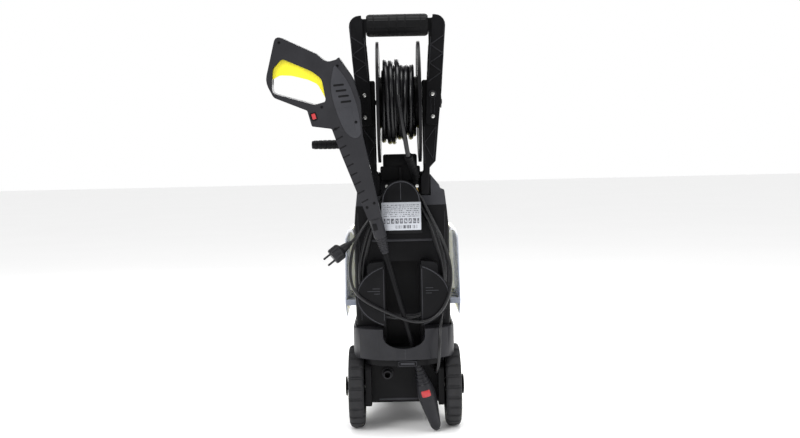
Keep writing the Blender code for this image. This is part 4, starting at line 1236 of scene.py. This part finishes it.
@dataclass
class Housing:
    """Rear and front covers, shoulder, lance rest and belt, with their joints and ribs."""

    rear_face: float = -0.3350
    ledge_height: float = 0.4497
    ledge_depth: float = 0.0092
    guard_face: float = -0.2985
    keeper_face: float = -0.4005
    keeper_x: tuple[float, float] = (-0.0130, 0.0270)
    keeper_z: tuple[float, float] = (0.1648, 0.1754)
    belt_face: float = -0.4050
    front_face: float = 0.0478

    def covers(self) -> None:
        """The mouldings of the housing, edges rounded as a mould leaves them."""
        for node, finish, width, angle, segments in (
            ("rear_cover", Finish.BLACK, 0.0012, 40.0, 2),
            ("front_cover", Finish.YELLOW, 0.0015, 40.0, 2),
            ("top_cover", Finish.SHOULDER, 0.0018, 24.0, 2),
            ("rear_band", Finish.CHARCOAL, 0.0028, 45.0, 4),
            ("lance_rest", Finish.BLACK, 0.0011, 40.0, 2),
        ):
            eased(node, "machine", finish, width, angle, segments)

    def shelf(self) -> None:
        """Ledge under the label, a paler ridge that paints its highlight, and the cover's two long
        draft ribs.
        """
        y = self.rear_face
        start = (-0.070, y - self.ledge_depth, self.ledge_height)
        end = (0.071, y - self.ledge_depth, self.ledge_height)
        # painted highlight: the ledge is raised in the paler shoulder grey on the black cover
        ledge = ridges([start], [end], REARWARD, 0.0056, 0.0016)
        solid("rear_ledge_painted_highlight", "machine", Finish.SHOULDER, ledge)
        side = np.array([-1.0, 1.0])
        low = np.stack([side * 0.0965, np.full(2, y), np.full(2, 0.262)], axis=1)
        high = np.stack([side * 0.1010, np.full(2, y), np.full(2, 0.515)], axis=1)
        bars = ridges(low, high, REARWARD, 0.0022, 0.0011)
        solid("rear_cover_ribs", "machine", Finish.CHARCOAL, bars)

    def guard(self) -> None:
        """Plate that closes the gap between the shoulder and the hose above it."""
        corners = [
            (-0.0400, 0.6120, 0.002), (0.0400, 0.6120, 0.002), (0.0400, 0.6500, 0.006),
            (-0.0400, 0.6500, 0.006),
        ]
        shield = plate(closed_outline(corners), 0.0, 0.0120, 0.0015, rear_plane(self.guard_face))
        solid("hose_guard", "machine", Finish.BLACK, shield)

    def belt_marks(self) -> None:
        """Seam down the belt's middle, and the keeper's raised frame under it."""
        (x0, x1), (z0, z1), y = self.keeper_x, self.keeper_z, self.keeper_face
        starts = [(x0, y, z0), (x0, y, z1), (x0, y, z0), (x1, y, z0)]
        ends = [(x1, y, z0), (x1, y, z1), (x0, y, z1), (x1, y, z1)]
        inner = box_outline((x0 + 0.004, x1 - 0.004), (z0 + 0.003, z1 - 0.003), 0.001)
        solid(
            "belt_marks", "machine", Finish.SHOULDER,
            ridges(starts, ends, REARWARD, 0.0012, 0.0007),
            plate(inner, -SINK, 0.0006, 0.0003, rear_plane(y)),
            ridges([(0.0020, self.belt_face, 0.1830)], [(0.0020, self.belt_face, 0.2030)],
                   REARWARD, 0.0014, 0.0006),
        )

    def front(self) -> None:
        """Cooling louvres low on the front of the hood."""
        z = 0.215 + 0.0095 * np.arange(7)
        starts = np.stack([np.full(7, -0.052), np.full(7, self.front_face), z], axis=1)
        bars = ridges(starts, starts * (-1, 1, 1), FORWARD, 0.0046, 0.0016)
        solid("front_louvres", "machine", Finish.BLACK, bars)

    def build(self) -> None:
        """Builds the housing."""
        self.covers()
        self.shelf()
        self.guard()
        self.belt_marks()
        self.front()


@dataclass
class Chassis:
    """Base frame with struts, foot, water inlet, wheels, rims and caps."""

    axle_y: float = -0.2850
    wheel_radius: float = 0.0970
    inner: float = 0.0960
    outer: float = 0.1320
    lugs: int = 24
    lug_share: float = 0.034
    lip_half: float = 0.062
    lip_face: float = -0.3033
    lip_height: float = 0.0670
    inlet_spot: Point = (-0.0405, -0.3034, 0.130)
    thread_pitch: float = 0.0026

    def wheel_place(self, side: int) -> np.ndarray:
        """The 4x4 at a wheel's middle, +Z along the axle."""
        middle = side * (self.inner + self.outer) / 2
        return aimed((middle, self.axle_y, self.wheel_radius), ACROSS)

    def base(self) -> None:
        """Frame with its lower lip, foot and steel axle."""
        eased("base_frame", "machine", Finish.BLACK, 0.0012)
        start = np.array([-self.lip_half, self.lip_face, self.lip_height])
        lip = ridges([start], [start * (-1, 1, 1)], REARWARD, 0.0050, 0.0016)
        solid("base_lip", "machine", Finish.SHOULDER, lip)
        eased("front_foot", "machine", Finish.RUBBER, 0.0012)
        cad_dressed("wheel_axle", Finish.STEEL)

    def inlet(self) -> None:
        """Threaded garden-hose inlet: the radius is a cosine of the height along its thread."""
        h = np.linspace(0.0045, 0.0250, 70)
        thread = 0.0099 + 0.0005 * np.cos(h / self.thread_pitch * math.tau)
        rows = [(0.0070, 0.0), (0.0140, 0.0), (0.0140, 0.0034), (0.0134, 0.0040), (0.0104, 0.0040)]
        rows += np.column_stack([thread, h]).tolist()
        rows += [(0.0099, 0.0260), (0.0070, 0.0260), (0.0070, 0.0040), (0.0070, 0.0)]
        pipe = turned(rows, aimed(self.inlet_spot, REARWARD), 48)
        solid("water_inlet_thread", "machine", Finish.CHARCOAL, lathed=[pipe], sharp=40,
              stands_for=["water_inlet"])

    def tyre(self, side: int, name: str) -> None:
        """Tyre with square lugs across its tread.

        Its section is a rounded rectangle from the rim outwards; between lugs the radius is 3 mm
        less, by a soft square wave of the angle, faded out down the side walls.
        """
        half = (self.outer - self.inner) / 2
        corners = [
            (0.0742, -half + 0.001), (0.0760, -half), (0.0885, -half), (0.0948, -half + 0.003),
            (0.0970, -half + 0.0075), (0.0970, half - 0.0075), (0.0948, half - 0.003),
            (0.0885, half), (0.0760, half), (0.0742, half - 0.001), (0.0742, -half + 0.001),
        ]
        profile = softened(corners, 0.0022, 3)
        steps = self.lugs * 12
        angle = np.arange(steps) * math.tau / steps
        wave = smooth_step(np.cos(angle * self.lugs), -0.88, -0.62)
        tread = smooth_step(profile[:, 0], 0.0865, 0.0945)
        middle_rib = smooth_step(np.abs(profile[:, 1]), 0.0012, 0.0030)
        drop = self.lug_share * (1 - wave)[None] * (tread * middle_rib)[:, None]
        ring = turned(profile, self.wheel_place(side), steps, 1 - drop)
        solid(f"wheel_{name}_tyre", f"wheel_{name}", Finish.TYRE, lathed=[ring], sharp=40,
              stands_for=[f"wheel_tyre_{name}"])

    def rim_painted_highlight(self, side: int, name: str) -> None:
        """Moulded rim: rolled flanges, web, hub and eight spokes on each face."""
        half, web = (self.outer - self.inner) / 2, 0.0032
        corners = [
            (0.0054, -half), (0.0150, -half), (0.0150, -web), (0.0660, -web),
            (0.0675, -half + 0.001), (0.0738, -half + 0.001), (0.0738, half - 0.001),
            (0.0675, half - 0.001), (0.0660, web), (0.0150, web), (0.0150, half),
            (0.0054, half), (0.0054, -half),
        ]
        place = self.wheel_place(side)
        angle = np.arange(8) * math.tau / 8 + 0.2
        ray = np.stack([np.cos(angle), np.sin(angle), 0 * angle], axis=1)
        spokes = [
            placed(ridges(ray * 0.0140 + level, ray * 0.0670 + level, level, 0.0065, 0.0075), place)
            for level in (np.array([0, 0, -web]), np.array([0, 0, web]))
        ]
        solid(f"wheel_{name}_rim", f"wheel_{name}", Finish.BLACK, *spokes, sharp=34,
              lathed=[turned(softened(corners, 0.0011, 2), place, 96)],
              stands_for=[f"wheel_rim_{name}"])

    def cap(self, side: int, name: str) -> None:
        """Pressed hub cap with a turned-in rim."""
        corners = [
            (0.0, 0.0080), (0.0060, 0.0084), (0.0180, 0.0095), (0.0222, 0.0090), (0.0235, 0.0074),
            (0.0235, 0.0056), (0.0100, 0.0051), (0.0095, 0.0006), (0.0052, 0.0006),
            (0.0052, 0.0062), (0.0, 0.0062),
        ]
        place = aimed((side * self.outer, self.axle_y, self.wheel_radius), (side, 0, 0))
        shell = turned(softened(corners, 0.0008, 2), place, 48)
        solid(f"hub_cap_{name}_pressing", "machine", Finish.BLACK, lathed=[shell], sharp=34,
              stands_for=[f"hub_cap_{name}"])

    def build(self) -> None:
        """Builds the chassis and both wheels."""
        self.base()
        self.inlet()
        for side, name in SIDES:
            self.tyre(side, name)
            self.rim_painted_highlight(side, name)
            self.cap(side, name)


@dataclass
class Handle:
    """Loop handle with its ribbed sleeve, carriers, brace and screws."""

    rear: float = -0.3500
    carrier_rear: float = -0.3377
    sleeve_height: float = 0.9465
    sleeve_radius: float = 0.0246
    sleeve_bore: float = 0.0212
    sleeve_half: float = 0.0710
    rib_rise: float = 0.0018
    screw_x: float = 0.078
    screw_z: tuple[float, float] = (0.786, 0.735)

    def frame(self) -> None:
        """Loop, carriers, brace and bushes."""
        eased("handle_loop", "machine", Finish.BLACK, 0.0012, 30.0)
        eased("reel_carrier_left", "machine", Finish.BLACK, 0.0012)
        eased("reel_carrier_right", "machine", Finish.BLACK, 0.0012)
        eased("cross_brace", "machine", Finish.BLACK, 0.0008)
        cad_dressed("reel_bush_left", Finish.CHARCOAL)
        cad_dressed("reel_bush_right", Finish.CHARCOAL)

    def sleeve(self) -> None:
        """Rubber sleeve: a barrel with raised rings and long ribs.

        The radius is the sleeve's own plus 1.1 mm wherever either a ring or a long rib stands,
        and it falls away at both ends.
        """
        x = np.linspace(-self.sleeve_half, self.sleeve_half, 240)
        angle = np.arange(160) * math.tau / 160
        rings = np.array([-0.0540, -0.0186, 0.0, 0.0186, 0.0540])
        near = np.min(np.abs(x[:, None] - rings[None]), axis=1)
        ring = 1 - smooth_step(near, 0.0007, 0.0016)
        rib = smooth_step(np.cos(angle * 10), 0.86, 0.95)
        end = self.sleeve_half - np.abs(x)
        proud = np.maximum(ring[:, None], rib[None] * smooth_step(end, 0.004, 0.007)[:, None])
        radius = self.sleeve_radius + 0.0011 * proud
        radius = radius - (0.0030 * (1 - smooth_step(end, 0.0, 0.0035)))[:, None]
        place = aimed((0, self.rear + 0.017, self.sleeve_height), ACROSS)
        grid = turned(np.column_stack([np.ones(len(x)), x]), place, 160, radius)
        bore = turned([(self.sleeve_bore, x[-1]), (self.sleeve_bore, x[0])], place, 160)
        solid("handle_sleeve", "machine", Finish.RUBBER, sharp=50,
              lathed=[np.concatenate([grid, bore, grid[:1]])], stands_for=["handle_grip"])

    def truss(self) -> None:
        """Rims and zig-zag ribs on the legs and carriers, paler than the loop: a painted highlight.
        """
        outer = np.array([(0.1085, 0.9500), (0.1040, 0.8700), (0.0968, 0.7960)])
        inner = np.array([(0.0765, 0.9170), (0.0735, 0.8700), (0.0692, 0.8240)])
        level = np.linspace(0.920, 0.815, 6)
        out_x = np.interp(level, outer[::-1, 1], outer[::-1, 0])
        in_x = np.interp(level, inner[::-1, 1], inner[::-1, 0])
        zig = np.stack([np.where(np.arange(6) % 2 == 0, out_x, in_x), level], axis=1)
        legs = [pair for line in (outer, inner, zig) for pair in zip(line[:-1], line[1:])]
        struts = [
            ((0.0855, 0.7120), (0.0775, 0.6360)), ((0.0575, 0.7120), (0.0575, 0.6260)),
            ((0.0855, 0.7120), (0.0575, 0.6740)), ((0.0575, 0.6740), (0.0775, 0.6360)),
        ]
        bars = []
        for side in (-1, 1):
            for lines, y, width in (
                (legs, self.rear, 0.0026), (struts, self.carrier_rear, 0.0024)
            ):
                spots = np.insert(np.array(lines) * (side, 1), 1, y, axis=-1)
                bars.append(ridges(spots[:, 0], spots[:, 1], REARWARD, width, self.rib_rise))
        # painted highlight: the ribs are charcoal on the black loop so that they read as lit edges
        solid("handle_truss_ribs_painted_highlight", "machine", Finish.CHARCOAL, *bars)

    def screws(self) -> None:
        """Four cross-head screws, and the ring boss round the upper right one."""
        for side, name in ((-1, "left"), (1, "right")):
            for level, z in zip(("upper", "lower"), self.screw_z):
                spot = np.array([(side * self.screw_x, self.rear, z)])
                heads = screw_heads(spot, REARWARD, 0.0043, 0.0021)
                solid(f"handle_screw_{level}_{name}_head", "machine", Finish.STEEL, heads,
                      sharp=25, stands_for=[f"handle_screw_{level}_{name}"])
        corners = [
            (0.0058, -SINK), (0.0088, -SINK), (0.0086, 0.0022), (0.0062, 0.0022), (0.0058, -SINK)
        ]
        place = aimed((self.screw_x, self.rear, self.screw_z[0]), REARWARD)
        starts = [(0.0740, self.rear, 0.7770), (0.0820, self.rear, 0.7770)]
        ends = [(0.0740, self.rear, 0.7420), (0.0820, self.rear, 0.7420)]
        solid("handle_ring_boss", "machine", Finish.CHARCOAL,
              ridges(starts, ends, REARWARD, 0.0016, 0.0012),
              lathed=[turned(softened(corners, 0.0005, 2), place, 48)])

    def build(self) -> None:
        """Builds the handle."""
        self.frame()
        self.sleeve()
        self.truss()
        self.screws()


@dataclass
class Reel:
    """Drum, ribbed flanges, crank and its turning grip."""

    axis_y: float = -0.3180
    axis_z: float = 0.7705
    crank_reach: float = 0.095
    drum_radius: float = 0.0592
    flange_radius: float = 0.1400
    flange_inner: float = 0.0447
    flange_outer: float = 0.0492

    def drum(self) -> None:
        """Drum with its axle stubs and shallow ribs round its face."""
        x = np.linspace(-0.0443, 0.0443, 90)
        rib = self.drum_radius + 0.0008 * smooth_step(np.cos(x / 0.011 * math.tau), 0.0, 0.6)
        rows = [(0.0, -0.118), (0.0054, -0.118), (0.0058, -0.1175), (0.0058, -0.0445)]
        rows += np.column_stack([rib, x]).tolist()
        rows += [(0.0058, 0.0445), (0.0058, 0.1005), (0.0054, 0.1010), (0.0, 0.1010)]
        barrel = turned(rows, aimed((0, self.axis_y, self.axis_z), ACROSS), 72)
        solid("reel_drum_barrel", "reel", Finish.BLACK, lathed=[barrel], sharp=34,
              stands_for=["reel_drum"])

    def flange(self, side: int, name: str) -> None:
        """Thin disc with a rolled rim, two rings and twelve spokes on its outer face."""
        low, high, r, roll = self.flange_inner, self.flange_outer, self.flange_radius, 0.0012
        corners = [
            (0.0062, low), (r - 0.0080, low), (r - 0.0060, low - roll), (r, low - roll),
            (r, high + roll), (r - 0.0060, high + roll), (r - 0.0080, high - roll),
            (0.0760, high - roll), (0.0740, high), (0.0660, high), (0.0640, high - roll),
            (0.0240, high - roll), (0.0220, high + roll), (0.0062, high + roll), (0.0062, low),
        ]
        place = aimed((0, self.axis_y, self.axis_z), (side, 0, 0))
        angle = np.arange(12) * math.tau / 12
        ray = np.stack([np.cos(angle), np.sin(angle), 0 * angle], axis=1)
        level = np.array([0, 0, high - roll])
        bars = ridges(ray * 0.0225 + level, ray * (r - 0.007) + level, (0, 0, 1), 0.0030, 0.0018)
        solid(f"reel_flange_{name}_disc", "reel", Finish.BLACK, placed(bars, place),
              lathed=[turned(softened(corners, 0.0006, 2), place, 160)],
              stands_for=[f"reel_flange_{name}"])

    def crank(self) -> None:
        """Arm and the rubber grip that turns on it, with rings along it."""
        eased("crank_arm", "reel", Finish.BLACK, 0.0012)
        x = np.linspace(-0.2008, -0.1262, 150)
        t = (x - x[0]) / (x[-1] - x[0])
        ring = smooth_step(np.cos(t * 7 * math.tau), 0.55, 0.85)
        radius = 0.0101 + 0.0006 * np.sin(t * math.pi) - 0.0007 * ring
        rows = [(0.0044, -0.2048), (0.0078, -0.2048), (0.0092, -0.2036)]
        rows += np.column_stack([radius, x]).tolist()
        rows += [(0.0090, -0.1259), (0.0044, -0.1259), (0.0044, -0.2048)]
        grip = turned(rows, aimed((0, self.axis_y, self.axis_z - self.crank_reach), ACROSS), 56)
        solid("crank_rubber_grip", "crank_handle", Finish.RUBBER, lathed=[grip], sharp=40,
              stands_for=["crank_grip"])

    def build(self) -> None:
        """Builds the reel."""
        self.drum()
        for side, name in SIDES:
            self.flange(side, name)
        self.crank()


@dataclass
class CableHooks:
    """Domed upper hook with the label, and the two halves of the lower hook."""

    face: float = -0.3850
    dome_half: float = 0.0425
    dome_foot: float = 0.530
    dome_rise: float = 0.0565
    lower_reach: float = 0.1045
    lower_middle: float = 0.3245
    lower_half: float = 0.0735
    tab_depth: float = 0.0086
    screw_step: float = 0.0040

    def rim_painted_highlight(self, x: np.ndarray, z: np.ndarray, width: float, rise: float) -> np.ndarray:
        """A raised line along points (x, z) of the face."""
        points = np.stack([x, np.full(len(x), self.face), z], axis=1)
        return ridges(points[:-1], points[1:], REARWARD, width, rise)

    def upper(self) -> None:
        """The dome, its raised arch rim with a painted highlight, its middle seam and its screws.
        """
        eased("upper_cable_hook", "machine", Finish.BLACK, 0.0012, 35.0)
        angle = np.linspace(0.10, math.pi - 0.10, 29)
        x = self.dome_half * np.cos(angle)
        z = self.dome_foot + self.dome_rise * np.sin(angle) ** 0.8
        seam = self.rim_painted_highlight(np.full(2, -0.0006), np.array([0.5445, 0.5835]), 0.0016, 0.0008)
        # painted highlight: the rim and the seam are in the paler shoulder grey on the black dome
        solid("upper_hook_rim_painted_highlight", "machine", Finish.SHOULDER, self.rim_painted_highlight(x, z, 0.0030, 0.0017),
              seam, sharp=60)
        y = self.face + self.screw_step
        spots = np.array([(-0.0318, y, 0.5765), (0.0375, y, 0.5760)])
        heads = screw_heads(spots, REARWARD, 0.0036, 0.0016)
        solid("upper_hook_screws", "machine", Finish.STEEL, heads, sharp=25)
        disc = [(0.0, 0.0), (0.0052, 0.0), (0.0054, 0.0004), (0.0054, 0.0080), (0.0050, 0.0086),
                (0.0, 0.0086)]
        backs = spots + (0, self.tab_depth, 0)
        tabs = [turned(disc, aimed(tuple(spot), REARWARD), 32) for spot in backs]
        solid("upper_hook_tabs", "machine", Finish.BLACK, lathed=tabs)

    def label(self) -> None:
        """Rating foil: a thin plate with soft corners."""
        foil = Finish.FOIL.value
        outline = box_outline((foil.low[0], foil.high[0]), (foil.low[1], foil.high[1]), 0.002)
        sheet = plate(outline, 0.0001, 0.0010, 0.0003, rear_plane(self.face))
        solid("rating_foil", "machine", Finish.FOIL, sheet, sharp=25, stands_for=["rating_label"])

    def lower(self, side: int, name: str) -> None:
        """One quarter-round hook half with its rim line, a painted highlight, and embossed lines.
        """
        eased(f"lower_cable_hook_{name}", "machine", Finish.BLACK, 0.0012, 35.0)
        angle = np.linspace(-1.12, 1.12, 29)
        x = side * self.lower_reach * np.cos(angle)
        z = self.lower_middle + self.lower_half * np.sin(angle)
        lines = np.array([
            [(0.0440, 0.2680), (0.0440, 0.3860)], [(0.0520, 0.3420), (0.0700, 0.3420)],
            [(0.0520, 0.3360), (0.0820, 0.3360)], [(0.0520, 0.3300), (0.0660, 0.3300)],
        ])
        spots = np.insert(lines * (side, 1), 1, self.face, axis=-1)
        marks = ridges(spots[:, 0], spots[:, 1], REARWARD, 0.0016, 0.0008)
        # painted highlight: the rim line is in the paler shoulder grey on the black hook, as are
        # the embossed lines
        solid(f"lower_hook_{name}_rim", "machine", Finish.SHOULDER,
              self.rim_painted_highlight(x, z, 0.0026, 0.0015), marks, sharp=60)

    def build(self) -> None:
        """Builds the hooks."""
        self.upper()
        self.label()
        for side, name in SIDES:
            self.lower(side, name)


@dataclass
class Fittings:
    """Side holders, power knob and the drive inside the housing."""

    knob_face: float = 0.0488
    knob_height: float = 0.335

    def holders(self) -> None:
        """Folded smoky holders with their sockets."""
        eased("side_holder_left", "machine", Finish.SMOKE, 0.0005, 60.0, 2)
        eased("side_holder_right", "machine", Finish.SMOKE, 0.0005, 60.0, 2)

    def knob(self) -> None:
        """Rotary switch: a fluted skirt that carries a finger bar."""
        corners = [
            (0.0, 0.0), (0.0258, 0.0), (0.0260, 0.0012), (0.0250, 0.0090), (0.0220, 0.0120),
            (0.0, 0.0125),
        ]
        profile = softened(corners, 0.0014, 3)
        angle = np.arange(192) * math.tau / 192
        band = smooth_step(profile[:, 0], 0.0215, 0.0245)
        swell = 1 - 0.035 * smooth_step(np.cos(angle * 24), 0.0, 0.7)[None] * band[:, None]
        y, z = self.knob_face, self.knob_height
        skirt = turned(profile, aimed((0, y, z), FORWARD), 192, swell)
        upright = np.array([[1, 0, 0, 0], [0, 0, 1, y], [0, 1, 0, z], [0, 0, 0, 1]], float)
        bar = box_outline((-0.0045, 0.0045), (-0.021, 0.021), 0.004)
        solid("power_knob_moulding", "switch_knob", Finish.CHARCOAL,
              plate(bar, 0.0100, 0.0198, 0.0018, upright), lathed=[skirt], sharp=34,
              stands_for=["power_knob"])

    def drive(self) -> None:
        """Motor, rotor and pump keep their solids."""
        cad_dressed("motor_housing", Finish.MOTOR)
        cad_dressed("motor_rotor", Finish.MOTOR)
        cad_dressed("pump_block", Finish.CAST)

    def build(self) -> None:
        """Builds the fittings."""
        self.holders()
        self.knob()
        self.drive()


@dataclass
class SprayGun:
    """The stored gun: shells, trigger, socket, lance and nozzle in the gun's own frame."""

    tip: Point = (0.0725, -0.354, 0.005)
    along_x: Point = (0.96770917, -0.02984601, 0.25029618)
    along_y: Point = (0.0, 0.99296551, 0.11840397)
    along_z: Point = (-0.25206936, -0.11458061, 0.96090183)
    half: float = 0.0165
    coupling_face: float = 0.0140
    socket_spot: Point = (-0.0535, 0, 0.7750)
    nozzle_length: float = 0.1702
    rib_pitch: float = 0.0085
    badge_height: float = 0.0970
    panel_rise: float = 0.0013

    def place(self) -> np.ndarray:
        """The gun's 4x4: its columns are its own X, Y and Z, and its tip."""
        made = np.eye(4)
        made[:3] = np.array([self.along_x, self.along_y, self.along_z, self.tip]).T
        return made

    def face(self, depth: float) -> np.ndarray:
        """The 4x4 for plates that face the rear at a depth: outline in u and v, height out."""
        return self.place() @ rear_plane(-depth)

    def lathe(self, profile: Sequence[tuple[float, float]], steps: int) -> np.ndarray:
        """A surface turned round the lance's own axis."""
        return turned(profile, self.place(), steps)

    def shells(self) -> None:
        """Shells, trigger, valve and clip from their solids, with rounder edges."""
        eased("gun_shell_rear", "spray_gun", Finish.CHARCOAL, 0.0016, 25.0, 3)
        eased("gun_shell_front", "spray_gun", Finish.CHARCOAL, 0.0016, 25.0, 3)
        eased("trigger", "gun_trigger", Finish.YELLOW, 0.0014, 30.0, 3)
        eased("hose_release", "release_button", Finish.RED, 0.0008)
        cad_dressed("gun_valve", Finish.BRASS)

    def socket(self) -> None:
        """Brass hose socket with two grooves."""
        corners = [
            (0.0062, 0.0), (0.0102, 0.0), (0.0102, 0.0100), (0.0092, 0.0106), (0.0092, 0.0124),
            (0.0102, 0.0130), (0.0102, 0.0190), (0.0096, 0.0225), (0.0062, 0.0225), (0.0062, 0.0),
        ]
        place = self.place() @ aimed(self.socket_spot, (-1, 0, 0))
        pipe = turned(softened(corners, 0.0005, 2), place, 48)
        solid("gun_hose_nipple", "spray_gun", Finish.BRASS, lathed=[pipe], sharp=32,
              stands_for=["gun_hose_socket"])

    def lance(self) -> None:
        """Coupling with bellows, and the lance's tube."""
        v = np.linspace(0.4400, 0.4760, 60)
        taper = np.interp(v, [0.4370, 0.4500, 0.4720, 0.4780], [0.0074, 0.0104, 0.0128, 0.0143])
        wave = 0.0007 * np.cos((v - 0.440) / 0.0060 * math.tau)
        rows = [(0.0, 0.4370), (0.0070, 0.4372)]
        rows += np.column_stack([taper + wave - 0.0004, v]).tolist()
        rows += [
            (0.0145, 0.4782), (0.0148, 0.4800), (0.0150, 0.5185), (0.0147, 0.5212),
            (0.0072, 0.5212), (0.0072, 0.5580), (0.0, 0.5580),
        ]
        solid("lance_coupling_bellows", "spray_gun", Finish.CHARCOAL, sharp=35,
              lathed=[self.lathe(rows, 64)], stands_for=["lance_coupling"])
        rows = [
            (0.0, 0.1705), (0.0052, 0.1705), (0.0055, 0.1710), (0.0055, 0.4362), (0.0052, 0.4367),
            (0.0, 0.4367),
        ]
        solid("lance_pipe", "spray_gun", Finish.BLACK, lathed=[self.lathe(rows, 40)], sharp=35,
              stands_for=["lance_tube"])

    def nozzle(self) -> None:
        """Fan nozzle: ribbed cone, barrel and rounded tip, with the red spray-setting badge.

        The radius follows a table of heights smoothed by a running mean, less a soft square wave
        where the ribs are. The badge lies on the cone: its depth is the root of the cone's radius
        squared less u squared, raised by 1 - u^6 - w^6 to the power of a quarter.
        """
        v = [0.0, 0.0030, 0.0080, 0.0300, 0.0620, 0.0850, 0.0980, 0.1230, 0.1500, 0.1702]
        r = [0.0045, 0.0092, 0.0116, 0.0148, 0.0192, 0.0210, 0.0205, 0.0160, 0.0098, 0.0078]
        fine = np.linspace(0, self.nozzle_length, 240)
        radius = np.interp(fine, v, r)
        radius = np.convolve(np.pad(radius, 6, "edge"), np.ones(13) / 13, "valid")
        rib = smooth_step(np.cos((fine - 0.118) / self.rib_pitch * math.tau), -0.2, 0.3)
        zone = smooth_step(fine, 0.1160, 0.1190) * smooth_step(-fine, -0.1700, -0.1660)
        seam = 1 - smooth_step(np.abs(fine - 0.0800), 0.0004, 0.0012)
        radius = radius - 0.0017 * rib * zone - 0.0006 * seam
        rows = [(0.0, 0.0), *np.column_stack([radius, fine]).tolist(), (0.0, self.nozzle_length)]
        solid("nozzle_moulding", "nozzle", Finish.CHARCOAL, lathed=[self.lathe(rows, 72)],
              sharp=42, stands_for=["nozzle_head"])
        side = np.linspace(-1, 1, 25)
        u, w = np.meshgrid(side, side, indexing="ij")
        edge = np.clip(1 - (np.abs(u) ** 6 + np.abs(w) ** 6), 0, 1) ** 0.25
        u, w = u * 0.0112, self.badge_height + w * 0.0080
        cone = np.sqrt(np.maximum(np.interp(w, v, r) ** 2 - u**2, 0))
        depth = cone - 0.0016 + 0.0024 * edge
        front = np.stack([u, -depth, w], axis=-1)
        rear = np.stack([u, -np.minimum(cone - 0.0030, depth - 0.0003), w], axis=-1)
        place = self.place()
        badge = Builder().grids(placed(front, place)).grids(placed(rear, place)[:, ::-1])
        rims = [
            np.concatenate([one[0, :-1], one[:-1, -1], one[-1, :0:-1], one[:0:-1, 0]])
            for one in (front, rear)
        ]
        badge.grids(placed(np.stack(rims), place), wrap_columns=True)
        settle(badge.make("nozzle_badge", 40), "nozzle", Finish.RED)

    def relief(self) -> None:
        """Leaf-shaped side panel with a blank field."""
        corners = [
            (0.0094, 0.8774, 0.010), (-0.0145, 0.8319, 0.030), (-0.0160, 0.7763, 0.030),
            (-0.0097, 0.7256, 0.020), (0.0060, 0.7060, 0.012), (0.0235, 0.7109, 0.012),
            (0.0330, 0.7700, 0.040), (0.0290, 0.8300, 0.040),
        ]
        field = [
            (-0.0085, 0.7805, 0.004), (-0.0050, 0.7280, 0.004), (0.0135, 0.7240, 0.004),
            (0.0200, 0.7780, 0.004),
        ]
        flat = self.face(self.half)
        leaf = plate(closed_outline(corners, 6), -SINK, self.panel_rise, 0.0009, flat)
        blank = plate(closed_outline(field, 4), 0.0010, 0.0019, 0.0006, flat)
        solid("gun_side_panel", "spray_gun", Finish.SHOULDER, leaf, blank, sharp=34)

    def painted_shade_and_dark_marks(self) -> None:
        """Painted shade of the slots and scallops; the clip's surround and the window."""
        flat = self.face(self.half)
        # painted shade: the slots are raised black bars standing for the shade in their recesses
        row = np.arange(4)[:, None]
        starts = np.array([-0.0060, 0.8320, self.panel_rise]) + row * (0.0018, -0.0130, 0)
        ends = starts + (0.0235, -0.0040, 0)
        slots = placed(ridges(starts, ends, (0, 0, 1), 0.0050, 0.0008), flat)
        # painted shade: the scallops are black bars standing for the shaded line along each
        level = np.linspace(0.566, 0.738, 9)
        edge = np.interp(level, [0.545, 0.56, 0.68, 0.742], [-0.0150, -0.0190, -0.0315, -0.0360])
        starts = np.stack([edge + 0.0010, level, 0 * level], axis=1)
        ends = starts + (0.0165, 0.0035, 0)
        scallops = placed(ridges(starts, ends, (0, 0, 1), 0.0030, 0.0012), flat)
        oval = box_outline((-0.0735, -0.0590), (0.7690, 0.7870), 0.006)
        hole = box_outline((-0.0708, -0.0612), (0.7722, 0.7858), 0.003)
        ring = np.concatenate([
            plate(oval, -SINK, 0.0009, 0.0004, flat), plate(hole, -SINK, 0.0009, 0.0, flat)[::-1]
        ])
        window = box_outline((-0.0105, 0.0000), (0.4960, 0.5120), 0.002, 3)
        pane = plate(window, -0.004, 0.0012, 0.0004, self.face(self.coupling_face))
        solid("gun_dark_marks", "spray_gun", Finish.BLACK, slots, scallops, pane, sharp=34,
              lathed=[np.concatenate([ring, ring[:1]])])

    def screws(self) -> None:
        """Seven dark cross-head screws in the shell's bosses."""
        spots = np.array([
            (-0.0933, 0.9530, 0), (0.0147, 0.8704, 0), (-0.0434, 0.7939, 0), (-0.0279, 0.7395, 0),
            (0.0197, 0.7420, self.panel_rise), (-0.0099, 0.5521, 0), (0.0082, 0.5571, 0),
        ])
        out = tuple(-np.asarray(self.along_y))
        heads = screw_heads(placed(spots, self.face(self.half)), out, 0.0031, 0.0012)
        solid("gun_screws", "spray_gun", Finish.BLACK, heads, sharp=25)

    def build(self) -> None:
        """Builds the gun."""
        self.shells()
        self.socket()
        self.lance()
        self.nozzle()
        self.relief()
        self.painted_shade_and_dark_marks()
        self.screws()


def main() -> None:
    """Builds every sub-assembly in order."""
    logging.basicConfig(level=logging.INFO, format="%(name)s: %(message)s")
    studio = Studio()
    studio.camera()
    for assembly in (
        MainsCable(), HoseRun(), Housing(), Chassis(), Handle(), Reel(), CableHooks(), Fittings(),
        SprayGun(),
    ):
        assembly.build()
        LOG.info("built %s", type(assembly).__name__)
    studio.floor()
    studio.lights()
    studio.surroundings()


if __name__ == "__main__":
    main()
